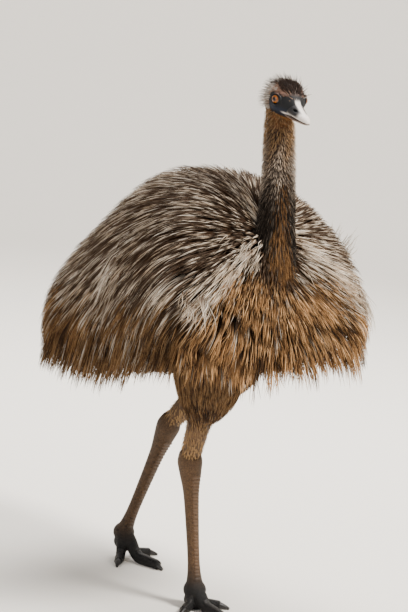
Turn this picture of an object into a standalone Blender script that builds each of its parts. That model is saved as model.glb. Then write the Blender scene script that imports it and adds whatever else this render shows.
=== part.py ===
"""Life-size still model of an adult emu in mid-stride, its right foot ahead and its head turned a little to the
right. Metres, +Z up. The bird faces -Y and its left side is +X. The origin is on the floor, at the middle of the
model's footprint. The long coat is built as flat tapered locks rooted in a core, and each named part of the body
is one closed solid, set about half a millimetre clear of its neighbours."""

import math
import random

import bmesh
import bpy
from mathutils import Matrix, Vector
from mathutils.bvhtree import BVHTree

# Clearance cut between neighbouring parts, and the seed of the random draws on each
CLEARANCE = 0.0005
SEEDS = {"torso": 1, "tail": 1, "neck_lower": 1, "neck_upper": 1, "thigh_left": 1, "thigh_right": 1}

# Outline of the coat round the torso, from the tail end to the breast: forward, half width, top, widest height,
# bottom
COAT_STATIONS = (
    (-0.497, 0.030, 0.700, 0.655, 0.600),
    (-0.468, 0.170, 0.805, 0.680, 0.545),
    (-0.375, 0.240, 0.939, 0.725, 0.540),
    (-0.200, 0.272, 1.092, 0.770, 0.545),
    (-0.040, 0.300, 1.206, 0.800, 0.568),
    (0.110, 0.330, 1.220, 0.815, 0.602),
    (0.240, 0.352, 1.190, 0.825, 0.638),
    (0.340, 0.355, 1.100, 0.830, 0.660),
    (0.415, 0.320, 0.975, 0.825, 0.665),
    (0.463, 0.230, 0.870, 0.805, 0.668),
    (0.482, 0.030, 0.790, 0.775, 0.740),
)
SHOULDER_FULLNESS = 0.86
COAT_DEPTH = 0.045
SKIRT_DROP = 0.070
SKIRT_ROOT = 0.150
FRINGE_LOCKS = 30
FRINGE_RISE = 0.120
NECK_CLEAR = 0.080
NECK_FADE = 0.260
NECK_DOWN = 0.014
THIGH_DOWN = 0.016

# Neck centre line from its root in the torso to the skull: forward, left, up, radius
NECK_LINE = (
    (0.325, 0.000, 0.850, 0.080),
    (0.352, 0.000, 0.945, 0.067),
    (0.346, 0.000, 1.080, 0.056),
    (0.338, 0.000, 1.217, 0.049),
    (0.322, 0.000, 1.345, 0.045),
    (0.314, 0.000, 1.405, 0.040),
)
NECK_SPLIT = 1.160
NAPE_TOP = 1.375

# Head: middle point between the eyes, its turn to the right and its pitch down, in degrees
EYE_LINE = (0.347, 0.000, 1.427)
HEAD_TURN = 8.0
HEAD_PITCH = 13.5
# Skull, along the head: ahead of the eyes, half width, top, bottom
SKULL_STATIONS = (
    (-0.064, 0.012, 0.012, -0.020),
    (-0.055, 0.033, 0.033, -0.037),
    (-0.030, 0.0455, 0.045, -0.047),
    (0.000, 0.0470, 0.045, -0.047),
    (0.024, 0.0370, 0.031, -0.042),
    (0.045, 0.0235, 0.012, -0.036),
    (0.060, 0.0130, 0.000, -0.031),
)
# Bill with both halves closed: ahead of the eyes, half width, culmen, underside
BILL_STATIONS = (
    (0.029, 0.0235, 0.0125, -0.0345),
    (0.044, 0.0245, 0.0085, -0.0355),
    (0.062, 0.0220, 0.0010, -0.0350),
    (0.085, 0.0175, -0.0075, -0.0340),
    (0.104, 0.0120, -0.0130, -0.0325),
    (0.116, 0.0050, -0.0200, -0.0290),
)
MOUTH_HEIGHT = -0.0262
MOUTH_GAP = 0.0008
BILL_EDGE = 0.22
EYE_RADIUS = 0.0165
EYE_PLACE = (0.004, 0.0360, 0.004)
EAR_PLACE = (-0.030, 0.0450, -0.012)
EAR_RADIUS = 0.0065
NOSTRIL_PLACE = (0.064, 0.0145, -0.0075)
NOSTRIL_SIZE = (0.0120, 0.0040, 0.0045)

# Legs: ankle (hock) and toe joint of each side: forward, left, up
ANKLE = {"right": (0.134, -0.050, 0.413), "left": (-0.118, 0.060, 0.445)}
TOE_JOINT = {"right": (0.198, -0.040, 0.050), "left": (-0.256, 0.030, 0.078)}
KNEE = {"right": (0.268, -0.115, 0.780), "left": (0.120, 0.115, 0.760)}
# Shank from the toe joint (0) to the ankle (1): share of its length, half width, half depth
SHANK_SIZES = (
    (-0.07, 0.019, 0.019),
    (0.00, 0.029, 0.028),
    (0.08, 0.0215, 0.021),
    (0.22, 0.0165, 0.018),
    (0.50, 0.0180, 0.020),
    (0.74, 0.0215, 0.024),
    (0.88, 0.0300, 0.031),
    (0.97, 0.0345, 0.036),
    (1.06, 0.0300, 0.033),
)
# Thigh from the ankle (0) to the knee (1): share, half width, half depth
THIGH_SIZES = (
    (0.08, 0.030, 0.031),
    (0.25, 0.034, 0.036),
    (0.36, 0.041, 0.046),
    (0.47, 0.062, 0.080),
    (0.62, 0.082, 0.108),
    (0.80, 0.090, 0.118),
    (1.00, 0.070, 0.090),
)
# Toes: name, length with claw, thickness, and the turn to the bird's left of each on the right and the left foot
TOES = (
    ("middle", 0.168, 0.0185, 0, 13),
    ("inner", 0.108, 0.0160, 52, -42),
    ("outer", 0.112, 0.0160, -58, 76),
)
KNUCKLE = (0.0315, 0.033, 0.030)
CLAW_LENGTH = 0.036
SOLE_CUT = 0.0015
TOE_SCUTES = 3

# Wings, short and held flat on the coat's side: root and tip as distance ahead and height, half width, thickness
WING_ROOT = (0.310, 1.000)
WING_TIP = (0.150, 0.880)
WING_SIZE = (0.032, 0.014)
WING_STEPS = 6
# Where the rump's share of the coat begins, as a distance ahead
TAIL_FRONT = -0.300

# Coat locks: least distance between two roots, length, width and thickness of one, and its steps along
BODY_LOCKS = (0.108, 0.260, 0.098, 0.020, 5)
TAIL_LOCKS = (0.112, 0.200, 0.098, 0.020, 4)
THIGH_LOCKS = (0.066, 0.095, 0.058, 0.012, 3)
NECK_LOCKS = (0.060, 0.110, 0.056, 0.010, 3)
NAPE_LOCKS = (0.056, 0.085, 0.046, 0.008, 3)
WING_LOCKS = (0.040, 0.120, 0.042, 0.012, 4)
# Where the coat flows from, at the foot of the neck, and how much of its depth the core fills
COAT_SOURCE = (0.330, 0.000, 1.080)
CORE_SHARE = 0.45
# Head tufts: count, length, width, thickness
CREST_TUFTS = (12, 0.034, 0.013, 0.005)

BODY_SIDES = 22


def at(forward, left, up):
    """A point of the bird, given as distances ahead, to its left and above the floor."""
    return Vector((left, -forward, up))


def blend(low, high, share):
    """The value that lies at a share of the way from low to high."""
    return low + (high - low) * share


def smooth_row(rows, share):
    """All the sizes of a table of stations at a share of its length, on a curve through its rows."""
    place = min(max(share, 0.0), 1.0) * (len(rows) - 1)
    index = min(int(place), len(rows) - 2)
    t = place - index
    before, first, last, after = (
        rows[min(max(index + k, 0), len(rows) - 1)] for k in (-1, 0, 1, 2)
    )
    found = []
    for a, b, c, d in zip(before, first, last, after):
        bend = (2 * a - 5 * b + 4 * c - d) * t + (3 * b - 3 * c + d - a) * t * t
        found.append(b + 0.5 * t * ((c - a) + bend))
    return found


def material(name, colour, roughness):
    """A painted finish for one kind of surface. It is made once and then found by its name."""
    found = bpy.data.materials.get(name)
    if found:
        return found
    made = bpy.data.materials.new(name)
    made.use_nodes = True
    shader = made.node_tree.nodes["Principled BSDF"]
    shader.inputs["Base Color"].default_value = (*colour, 1.0)
    shader.inputs["Roughness"].default_value = roughness
    shader.inputs["Metallic"].default_value = 0.0
    made.diffuse_color = (*colour, 1.0)
    return made


def add_mesh(name, mesh):
    """Puts a mesh in the model as an object of that name."""
    obj = bpy.data.objects.new(name, mesh)
    bpy.context.scene.collection.objects.link(obj)
    return obj


def loft(name, rings):
    """A closed skin over rings of equal count, each end closed by a fan on the middle of its ring."""
    bm = bmesh.new()
    rows = [[bm.verts.new(p) for p in ring] for ring in rings]
    count = len(rows[0])
    for low, high in zip(rows, rows[1:]):
        for i in range(count):
            j = (i + 1) % count
            bm.faces.new((low[i], low[j], high[j], high[i]))
    for row, ring in ((rows[0], rings[0]), (rows[-1], rings[-1])):
        centre = bm.verts.new(sum(ring, Vector()) / count)
        for i in range(count):
            bm.faces.new((row[i], row[(i + 1) % count], centre))
    bmesh.ops.recalc_face_normals(bm, faces=bm.faces)
    bmesh.ops.triangulate(bm, faces=bm.faces, quad_method="SHORT_EDGE")
    mesh = bpy.data.meshes.new(name)
    bm.to_mesh(mesh)
    bm.free()
    return add_mesh(name, mesh)


def oval(centre, side, up, half_width, half_up, half_down, count, power=1.0):
    """A ring round a centre, with its own height above and below, fuller than an ellipse when power is under 1."""
    ring = []
    for i in range(count):
        angle = 2 * math.pi * (i + 0.5) / count
        s, c = math.sin(angle), math.cos(angle)
        across = math.copysign(abs(s) ** power, s) * half_width
        high = math.copysign(abs(c) ** power, c) * (half_up if c > 0 else half_down)
        ring.append(centre + side * across + up * high)
    return ring


def limb(name, points, sizes, count, side=Vector((1, 0, 0))):
    """A tube through points, with an oval section of the given half width and half depth at each."""
    rings = []
    for i, point in enumerate(points):
        along = (points[min(i + 1, len(points) - 1)] - points[max(i - 1, 0)]).normalized()
        across = (side - along * side.dot(along)).normalized()
        depth = along.cross(across)
        width, thick = sizes[i]
        rings.append(oval(point, across, depth, width, thick, thick, count))
    return loft(name, rings)


def ball(name, place, sizes, turn=Matrix.Identity(4), segments=16, rings=10):
    """A sphere with its own half size on each axis."""
    bm = bmesh.new()
    scale = Matrix.Diagonal((*sizes, 1.0))
    bmesh.ops.create_uvsphere(
        bm, u_segments=segments, v_segments=rings, radius=1.0, matrix=Matrix.Translation(place) @ turn @ scale
    )
    bmesh.ops.triangulate(bm, faces=bm.faces)
    mesh = bpy.data.meshes.new(name)
    bm.to_mesh(mesh)
    bm.free()
    return add_mesh(name, mesh)


def grown(obj, by=CLEARANCE):
    """A copy of a piece, larger by the clearance all round, to cut its neighbours back with."""
    copy = add_mesh(obj.name + "_grown", obj.data.copy())
    bm = bmesh.new()
    bm.from_mesh(copy.data)
    bm.normal_update()
    for v in bm.verts:
        v.co += v.normal * by
    bm.to_mesh(copy.data)
    bm.free()
    return copy


def keep_largest(obj):
    """Leaves only the largest closed surface of a mesh, without loose scraps and sealed hollows."""
    bm = bmesh.new()
    bm.from_mesh(obj.data)
    seen, groups = set(), []
    for start in bm.faces:
        if start in seen:
            continue
        seen.add(start)
        group, edge = [start], [start]
        while edge:
            for loop in edge.pop().loops:
                for face in loop.edge.link_faces:
                    if face not in seen:
                        seen.add(face)
                        group.append(face)
                        edge.append(face)
        groups.append(group)
    groups.sort(key=lambda faces: sum(f.calc_area() for f in faces), reverse=True)
    for group in groups[1:]:
        bmesh.ops.delete(bm, geom=group, context="FACES")
    loose = [v for v in bm.verts if not v.link_faces]
    bmesh.ops.delete(bm, geom=loose, context="VERTS")
    bm.to_mesh(obj.data)
    bm.free()


def combine(base, others, operation):
    """Joins the other pieces to the base, or cuts them from it, in one Boolean that is then applied."""
    if not others:
        return base
    group = bpy.data.collections.new(base.name + "_" + operation.lower())
    for other in others:
        group.objects.link(other)
    cut = base.modifiers.new(operation.title(), "BOOLEAN")
    cut.operation = operation
    cut.operand_type = "COLLECTION"
    cut.collection = group
    cut.solver = "MANIFOLD"
    graph = bpy.context.evaluated_depsgraph_get()
    result = bpy.data.meshes.new_from_object(base.evaluated_get(graph))
    base.modifiers.clear()
    base.data = result
    for other in others:
        bpy.data.objects.remove(other)
    bpy.data.collections.remove(group)
    keep_largest(base)
    return base


def finish(obj, name, finish_material, smooth_angle=40.0):
    """Names a finished part, gives it its material and shades its round faces smooth."""
    obj.name = name
    obj.data.name = name
    obj.data.materials.clear()
    obj.data.materials.append(finish_material)
    obj.data.shade_smooth()
    obj.data.set_sharp_from_angle(angle=math.radians(smooth_angle))
    return obj


def share_at(forward):
    """The share of the station table at which the torso's outline reaches a distance ahead."""
    low, high = 0.0, 1.0
    for _ in range(40):
        middle = (low + high) / 2
        if smooth_row(COAT_STATIONS, middle)[0] < forward:
            low = middle
        else:
            high = middle
    return low


def torso_shape(name, inset, skirt, first=0.0, last=1.0, rings=18, sides=BODY_SIDES):
    """The torso's outline between two shares of its table, drawn in by an inset all round and lifted below by
    the skirt's drop."""
    found = []
    for i in range(rings + 1):
        forward, half, top, widest, bottom = smooth_row(COAT_STATIONS, blend(first, last, i / rings))
        middle = (COAT_STATIONS[0][0] + COAT_STATIONS[-1][0]) / 2
        reach = (COAT_STATIONS[-1][0] - COAT_STATIONS[0][0]) / 2
        forward = middle + (forward - middle) * (reach - inset) / reach
        half = max(half - inset, 0.012)
        centre = at(forward, 0, widest)
        up, down = max(top - inset - widest, 0.012), max(widest - bottom - skirt, 0.012)
        found.append(
            oval(centre, Vector((1, 0, 0)), Vector((0, 0, 1)), half, up, down, sides, SHOULDER_FULLNESS)
        )
    return loft(name, found)


def surface_of(obj):
    """A search tree over a piece, for the nearest point and normal of its surface."""
    mesh = obj.data
    return BVHTree.FromPolygons([v.co for v in mesh.vertices], [p.vertices for p in mesh.polygons])


def lie(point, normal):
    """Which way the coat lies: away from the foot of the neck, down, and outwards from the back's parting."""
    low, high = COAT_STATIONS[4][4], COAT_STATIONS[4][2]
    height = min(max((point.z - low) / (high - low), 0.0), 1.0)
    away = (point - at(*COAT_SOURCE)).normalized()
    side = math.copysign(min(abs(point.x) / 0.04, 1.0), point.x)
    way = away + at(-0.9 * height, 0.6 * height * side, -1.1 + 0.5 * height)
    return (way - normal * way.dot(normal)).normalized()


def down_lie(point, normal):
    """The lie on neck and legs: straight down the surface."""
    way = Vector((0, 0, -1))
    return (way - normal * way.dot(normal)).normalized()


def flowing_path(surface, start, length, depth, steps, way, floor=0.0, overhang=-0.2):
    """Points and normals of a lock that rises from its root to the surface and follows it to the tip. Where the
    surface turns under past the overhang, the lock hangs straight down."""
    for _ in range(2):
        place, normal, _, _ = surface.find_nearest(start)
        points, normals = [], []
        for i in range(steps + 1):
            share = i / steps
            points.append(place - normal * depth * (1 - share) ** 1.7)
            normals.append(normal.copy())
            if normal.z < overhang:
                place = place + Vector((0, 0, -length / steps))
            else:
                place, normal, _, _ = surface.find_nearest(place + way(place, normal) * (length / steps))
        drop = start.z - points[-1].z
        if points[-1].z >= floor or drop <= 0:
            break
        length *= max((start.z - floor) / drop, 0.25)
    return points, normals


def scatter(mesh, spacing, accept):
    """Seeded random points on a mesh, none nearer to another than the spacing, where accept says yes."""
    mesh.calc_loop_triangles()
    faces = [[mesh.vertices[i].co for i in triangle.vertices] for triangle in mesh.loop_triangles]
    areas = [triangle.area for triangle in mesh.loop_triangles]
    found = []
    misses = 0
    while misses < 400:
        a, b, c = random.choices(faces, areas)[0]
        u, v = random.random(), random.random()
        if u + v > 1:
            u, v = 1 - u, 1 - v
        point = a + (b - a) * u + (c - a) * v
        if not accept(point) or any((point - other).length < spacing for other in found):
            misses += 1
            continue
        found.append(point)
        misses = 0
    return found


def lock(points, normals, width, thickness):
    """A flat tapered lock with a raised middle line, from a broad root to a point."""
    bm = bmesh.new()
    rows = []
    last = len(points) - 1
    for i, (point, normal) in enumerate(zip(points[:-1], normals)):
        share = i / last
        along = (points[i + 1] - points[max(i - 1, 0)]).normalized()
        across = along.cross(normal).normalized()
        up = across.cross(along).normalized()
        half = width / 2 * min(0.7 + share, 1.0) * (1 - share**2.4)
        high = thickness * (1 - 0.6 * share)
        rows.append([
            bm.verts.new(point + across * half - up * high * 0.35),
            bm.verts.new(point - across * half - up * high * 0.35),
            bm.verts.new(point + up * high * 0.65),
        ])
    tip = bm.verts.new(points[-1])
    bm.faces.new(rows[0])
    for low, high in zip(rows, rows[1:]):
        for i in range(3):
            j = (i + 1) % 3
            bm.faces.new((low[i], low[j], high[j], high[i]))
    for i in range(3):
        bm.faces.new((rows[-1][i], rows[-1][(i + 1) % 3], tip))
    bmesh.ops.recalc_face_normals(bm, faces=bm.faces)
    bmesh.ops.triangulate(bm, faces=bm.faces)
    mesh = bpy.data.meshes.new("lock")
    bm.to_mesh(mesh)
    bm.free()
    return add_mesh("lock", mesh)


def near_neck(point):
    """How much smaller the coat's locks grow near the foot of the neck: 1 far from it, less beside it."""
    return min(max((point - at(*COAT_SOURCE)).length / NECK_FADE, 0.45), 1.0)


def same_size(point):
    """The size of locks that are alike all over."""
    return 1.0


def add_locks(core, outer, sizes, depth, accept, way=lie, bottom=None, swell=same_size, extra=(), overhang=-0.2):
    """Fuses seeded locks to a core, rooted under its surface and reaching the outer surface at their tips."""
    spacing, length, width, thickness, steps = sizes
    random.seed(SEEDS[core.name])
    surface = surface_of(outer)
    locks = []
    for start in scatter(outer.data, spacing, accept) + list(extra):
        size = swell(start)
        reach = length * size * random.uniform(0.85, 1.12)
        low = bottom(start) if bottom else 0.0
        points, normals = flowing_path(surface, start, reach, depth, steps, way, low, overhang)
        locks.append(lock(points, normals, width * size * random.uniform(0.88, 1.1), thickness))
    bpy.data.objects.remove(outer)
    return combine(core, locks, "UNION")


def head_frame():
    """The head's own axes: ahead along the bill, to its left, and up from the eye line."""
    turn = Matrix.Rotation(math.radians(-HEAD_TURN), 4, "Z")
    pitch = Matrix.Rotation(math.radians(HEAD_PITCH), 4, "X")
    return Matrix.Translation(at(*EYE_LINE)) @ turn @ pitch


def head_point(ahead, left, up):
    """A point given in the head's own axes, as a place in the model."""
    return head_frame() @ Vector((left, -ahead, up))


def head_loft(name, rows, sides, power=1.0, steps=9, floor=None, roof=None):
    """A skin along the head through rows of half width, top and bottom, cut at a floor or a roof height."""
    rings = []
    turn = head_frame().to_3x3()
    for i in range(steps + 1):
        ahead, half, top, bottom = smooth_row(rows, i / steps)
        top = top if roof is None else min(top, roof)
        bottom = bottom if floor is None else max(bottom, floor)
        tall = max(top - bottom, 0.0024)
        widest = 0.5 if floor is None and roof is None else BILL_EDGE if roof is None else 1 - BILL_EDGE
        rings.append(oval(
            head_point(ahead, 0, bottom + tall * widest), turn @ Vector((1, 0, 0)), turn @ Vector((0, 0, 1)),
            half, tall * (1 - widest), tall * widest, sides, power,
        ))
    return loft(name, rings)


def leg_point(low, high, share, bow=0.0):
    """A point on the line between two joints, bowed forward by a small distance in its middle."""
    point = at(*low).lerp(at(*high), share)
    return point + at(bow * math.sin(math.pi * min(max(share, 0.0), 1.0)), 0, 0)


def make_shank(side):
    """The bare scaly shank, from the toe joint to the knobbly ankle."""
    low, high = TOE_JOINT[side], ANKLE[side]
    points = [leg_point(low, high, share) for share, _, _ in SHANK_SIZES]
    return limb("shank_" + side, points, [(w, d) for _, w, d in SHANK_SIZES], 10)


def make_thigh(side, inset=0.0):
    """The drumstick above the ankle, its upper end inside the torso, drawn in by an inset all round."""
    low, high = ANKLE[side], KNEE[side]
    points = [leg_point(low, high, share, 0.012) for share, _, _ in THIGH_SIZES]
    return limb("thigh_" + side, points, [(w - inset, d - inset) for _, w, d in THIGH_SIZES], 14)


def toe_points(side, length, thickness, turn):
    """Centre points of one toe, from inside the joint down to the floor and along it, and their shares."""
    joint = at(*TOE_JOINT[side])
    angle = math.radians(turn)
    way = at(math.cos(angle), math.sin(angle), 0)
    reach = length - CLAW_LENGTH * 0.6
    lead = reach - (0.012 if side == "right" else 0.0)
    drop = joint.z - thickness * 0.75
    found = []
    for share in (0.10, 0.28, 0.45, 0.62, 0.82, 1.0):
        fall = min(share / 0.5, 1.0)
        fall = fall * fall * (3 - 2 * fall)
        place = joint + way * (lead * share)
        place.z = joint.z - drop * fall - thickness * 0.18 * max(share - 0.6, 0)
        found.append((place, share))
    return found, way


def make_toe(side, toe):
    """One toe with a flat sole, raised scutes along its top, and its claw as a piece of its own."""
    name, length, thickness, turn_right, turn_left = toe
    points, way = toe_points(side, length, thickness, turn_left if side == "left" else turn_right)
    across = Vector((0, 0, 1)).cross(way)
    sizes = []
    for _, share in points:
        pad = 1.0 + 0.10 * math.sin(share * 3 * math.pi)
        sizes.append((thickness * blend(1.08, 0.72, share) * pad, thickness * blend(1.0, 0.74, share) * pad))
    toe_obj = limb("toe", [p for p, _ in points], sizes, 8, across)
    root, end = points[-2][0], points[-1][0]
    claw_points, claw_sizes = [], []
    for i in range(5):
        share = i / 4
        place = root.lerp(end, 0.2) + way * (CLAW_LENGTH * 1.05 * share)
        place.z = blend(thickness * 0.72, 0.0035, share**1.5) + SOLE_CUT * 0.2
        claw_points.append(place)
        claw_sizes.append((thickness * blend(0.52, 0.10, share), thickness * blend(0.55, 0.12, share)))
    claw_obj = limb("claw", claw_points, claw_sizes, 6, across)
    scutes = []
    for i in range(TOE_SCUTES):
        share = blend(0.34, 0.88, i / (TOE_SCUTES - 1))
        index = share * (len(points) - 1)
        low, high = points[int(index)], points[int(index) + 1]
        place = low[0].lerp(high[0], index - int(index))
        size = thickness * blend(0.86, 0.60, share)
        slope = (high[0] - low[0]).normalized()
        turned = Matrix((across, slope, across.cross(slope))).transposed().to_4x4()
        crown = place + Vector((0, 0, size * 0.42))
        scutes.append(ball("scute", crown, (size, size * 0.42, size * 0.72), turned, 6, 4))
    return toe_obj, claw_obj, scutes


def floor_cutter():
    """A slab below the floor, which flattens every sole at one level."""
    bm = bmesh.new()
    bmesh.ops.create_cube(bm, size=1.0, matrix=Matrix.Translation((0, 0, -0.1)) @ Matrix.Diagonal((3, 3, 0.2, 1)))
    mesh = bpy.data.meshes.new("floor")
    bm.to_mesh(mesh)
    bm.free()
    return add_mesh("floor", mesh)


def make_eye(side):
    """One eyeball, which shows between the lids."""
    ahead, left, up = EYE_PLACE
    sign = 1 if side == "left" else -1
    place = head_point(ahead, sign * left, up)
    return ball("eye_" + side, place, (EYE_RADIUS,) * 3, head_frame().to_3x3().to_4x4(), 10, 7)


def make_lids(side):
    """The pair of thick lids round one eye, as a ring that lies on the skull."""
    ahead, left, up = EYE_PLACE
    sign = 1 if side == "left" else -1
    turn = head_frame().to_3x3()
    centre = head_point(ahead, sign * (left + 0.0085), up)
    rings = []
    count = 14
    for i in range(count):
        angle = 2 * math.pi * i / count
        out = turn @ Vector((0, -math.cos(angle), math.sin(angle)))
        place = centre + out * (EYE_RADIUS * 0.90)
        rings.append([
            place + out * (0.0042 * math.cos(a)) + turn @ Vector((sign, 0, 0)) * (0.0036 * math.sin(a))
            for a in (2 * math.pi * k / 5 for k in range(5))
        ])
    return ring_loft("lids", rings)


def ring_loft(name, rings):
    """A closed ring-shaped skin through sections that come round to the first one again."""
    bm = bmesh.new()
    rows = [[bm.verts.new(p) for p in ring] for ring in rings]
    count = len(rows[0])
    for index, low in enumerate(rows):
        high = rows[(index + 1) % len(rows)]
        for i in range(count):
            j = (i + 1) % count
            bm.faces.new((low[i], low[j], high[j], high[i]))
    bmesh.ops.recalc_face_normals(bm, faces=bm.faces)
    bmesh.ops.triangulate(bm, faces=bm.faces)
    mesh = bpy.data.meshes.new(name)
    bm.to_mesh(mesh)
    bm.free()
    return add_mesh(name, mesh)


def make_bill():
    """Both halves of the broad flat bill, apart by the line of the mouth, with a nostril in each side."""
    upper = head_loft("bill_upper", BILL_STATIONS, 12, 1.0, 8, floor=MOUTH_HEIGHT)
    lower = head_loft("bill_lower", BILL_STATIONS, 12, 1.0, 7, roof=MOUTH_HEIGHT - MOUTH_GAP)
    ahead, left, up = NOSTRIL_PLACE
    turn = head_frame().to_3x3().to_4x4()
    length, width, height = NOSTRIL_SIZE
    nostrils = [
        ball("nostril", head_point(ahead, sign * left, up), (width, length, height), turn, 8, 6)
        for sign in (1, -1)
    ]
    combine(upper, nostrils, "DIFFERENCE")
    return upper, lower


def make_crest():
    """Hair-like tufts on the crown and the back of the head, fanned outwards and back."""
    count, length, width, thickness = CREST_TUFTS
    turn = head_frame().to_3x3()
    tufts = []
    for i in range(count):
        angle = math.radians(blend(-80, 80, (i % 6) / 5))
        row = i // 6
        out = turn @ Vector((math.sin(angle), blend(0.15, 0.85, row), math.cos(angle))).normalized()
        back = turn @ Vector((0, 1, -0.2))
        root = head_point(blend(-0.012, -0.034, row), 0, -0.004) + out * blend(0.033, 0.034, row)
        points = [root + out * (length * s) + back * (length * 0.5 * s * s) for s in (0.0, 0.34, 0.67, 1.0)]
        tufts.append(lock(points, [out.cross(back).cross(out).normalized()] * 4, width, thickness))
    return tufts


def make_head(cutters):
    """The skull under its thin skin, with lids and the cup of each ear, cut back round eyes and bill."""
    head = head_loft("head", SKULL_STATIONS, 16, 0.92, 9)
    combine(head, [make_lids("left"), make_lids("right")] + make_crest(), "UNION")
    ahead, left, up = EAR_PLACE
    turn = head_frame().to_3x3().to_4x4()
    cups = [
        ball("ear", head_point(ahead, sign * left, up), (EAR_RADIUS, EAR_RADIUS * 1.3, EAR_RADIUS), turn, 8, 5)
        for sign in (1, -1)
    ]
    return combine(head, cups + [grown(c) for c in cutters], "DIFFERENCE")


def neck_rows(low, high, steps):
    """Centre points and radii of the neck between two shares of its line."""
    found = []
    for i in range(steps + 1):
        forward, left, up, radius = smooth_row(NECK_LINE, blend(low, high, i / steps))
        found.append((at(forward, left, up), radius))
    return found


def neck_share(height):
    """The share of the neck's line at a height above the floor."""
    low, high = 0.0, 1.0
    for _ in range(40):
        middle = (low + high) / 2
        if smooth_row(NECK_LINE, middle)[2] < height:
            low = middle
        else:
            high = middle
    return low


def make_neck(name, low, high, steps, inset=0.0):
    """A length of the neck as a round tube."""
    rows = neck_rows(low, high, steps)
    return limb(name, [p for p, _ in rows], [(r - inset, r - inset) for _, r in rows], 16)


def on_flank(surface, forward, sign, height):
    """The point and normal of a surface straight in from one side, at a distance ahead and a height."""
    place, normal, _, _ = surface.ray_cast(at(forward, sign, height), Vector((-sign, 0, 0)))
    return place, normal


def outline_bottom(point):
    """How low the coat's fringe hangs under a point of the torso."""
    return smooth_row(COAT_STATIONS, share_at(-point.y))[4]


def on_coat(point):
    """Whether a lock may be rooted at a point of the coat: not on the belly, nor under the foot of the neck."""
    rise = (point.z - outline_bottom(point)) / SKIRT_ROOT
    neck = (point - at(*COAT_SOURCE)).length
    return rise > 1 and neck > NECK_CLEAR


def on_torso(point):
    """As on the whole coat, and far enough ahead of the rump to lie over it with the free end alone."""
    return on_coat(point) and -point.y > TAIL_FRONT + BODY_LOCKS[1] * 0.36


def coat_outline(first=0.0, last=1.0):
    """The outline that the tips of the torso's locks reach, between two shares of its length."""
    return torso_shape("outline", 0.0, 0.0, first, last, 16, 24)


def clear_of_torso():
    """A test that says whether a point lies outside the torso's outline."""
    outline = coat_outline()
    surface = surface_of(outline)
    bpy.data.objects.remove(outline)

    def is_clear(point):
        place, normal, _, _ = surface.find_nearest(point)
        return (point - place).dot(normal) > 0

    return is_clear


def fringe_roots():
    """Roots of the lowest tier of locks, evenly round the body at one height over the fringe."""
    outline = coat_outline()
    surface = surface_of(outline)
    bpy.data.objects.remove(outline)
    found = []
    for i in range(FRINGE_LOCKS):
        angle = 2 * math.pi * (i + 0.5) / FRINGE_LOCKS
        out = at(math.cos(angle), 0.62 * math.sin(angle), 0)
        rim = out * 0.4
        height = smooth_row(COAT_STATIONS, share_at(-rim.y))[4] + FRINGE_RISE
        place, _, _, _ = surface.ray_cast(out * 2 + Vector((0, 0, height)), -out)
        found.append(place)
    return found


def make_torso():
    """The body from breast to rump, with its coat as tiers of locks that reach out to its outline."""
    start = share_at(TAIL_FRONT)
    core = torso_shape("torso", COAT_DEPTH * (1 - CORE_SHARE), SKIRT_DROP, start, 1.0, 12, 18)
    fringe = [point for point in fringe_roots() if -point.y > TAIL_FRONT]
    return add_locks(
        core, coat_outline(), BODY_LOCKS, COAT_DEPTH, on_torso, lie, outline_bottom, near_neck, fringe
    )


def make_tail():
    """The rump, with the loose locks that stand for the bird's tail."""
    stop = share_at(TAIL_FRONT - CLEARANCE)
    core = torso_shape("tail", COAT_DEPTH * (1 - CORE_SHARE), SKIRT_DROP, 0.0, stop, 8, 16)
    outer = coat_outline(0.0, share_at(TAIL_FRONT))
    fringe = [point for point in fringe_roots() if -point.y < TAIL_FRONT - TAIL_LOCKS[0] / 3]
    return add_locks(core, outer, TAIL_LOCKS, COAT_DEPTH, on_coat, lie, outline_bottom, same_size, fringe)


def make_neck_part(name, low, high, steps, sizes, ceiling, floor):
    """A length of the neck with its short bristly feathers as small locks, rooted between two heights."""
    core = make_neck(name, low, high, steps, NECK_DOWN * 0.5)
    outer = make_neck("outline", 0.0, 1.0, 12)
    is_clear = clear_of_torso()

    def rooted(point):
        return floor < point.z < ceiling and is_clear(point - Vector((0, 0, sizes[1] * 0.4)))

    return add_locks(core, outer, sizes, NECK_DOWN, rooted, down_lie)


def make_thigh_part(side):
    """The drumstick with the locks that cover it."""
    core = make_thigh(side, THIGH_DOWN * 0.5)
    outer = make_thigh(side)
    lowest = ANKLE[side][2] + THIGH_LOCKS[1]
    is_clear = clear_of_torso()

    def rooted(point):
        return point.z > lowest and is_clear(point)

    return add_locks(core, outer, THIGH_LOCKS, THIGH_DOWN, rooted, down_lie, overhang=-0.9)


def make_wing(side):
    """A short wing held flat against the shoulder, half sunk in the coat, with a few locks along it."""
    sign = 1 if side == "left" else -1
    outline = coat_outline()
    surface = surface_of(outline)
    bpy.data.objects.remove(outline)
    width, thick = WING_SIZE
    along = at(WING_TIP[0] - WING_ROOT[0], 0, WING_TIP[1] - WING_ROOT[1]).normalized()
    rings, locks = [], []
    for i in range(WING_STEPS + 1):
        share = i / WING_STEPS
        forward, height = (blend(a, b, share) for a, b in zip(WING_ROOT, WING_TIP))
        place, normal = on_flank(surface, forward, sign, height)
        place -= normal * thick * 0.6
        across = along.cross(normal).normalized()
        swell = 0.35 + 0.65 * math.sin(math.pi * blend(0.12, 0.92, share))
        rings.append(oval(place, across, normal, width * swell, thick * swell, thick * swell, 10))
        if i % 2:
            _, length, wide, deep, steps = WING_LOCKS
            points, normals = flowing_path(surface, place, length, thick, steps, lie)
            locks.append(lock(points, normals, wide, deep))
    return combine(loft("wing_" + side, rings), locks, "UNION")


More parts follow.
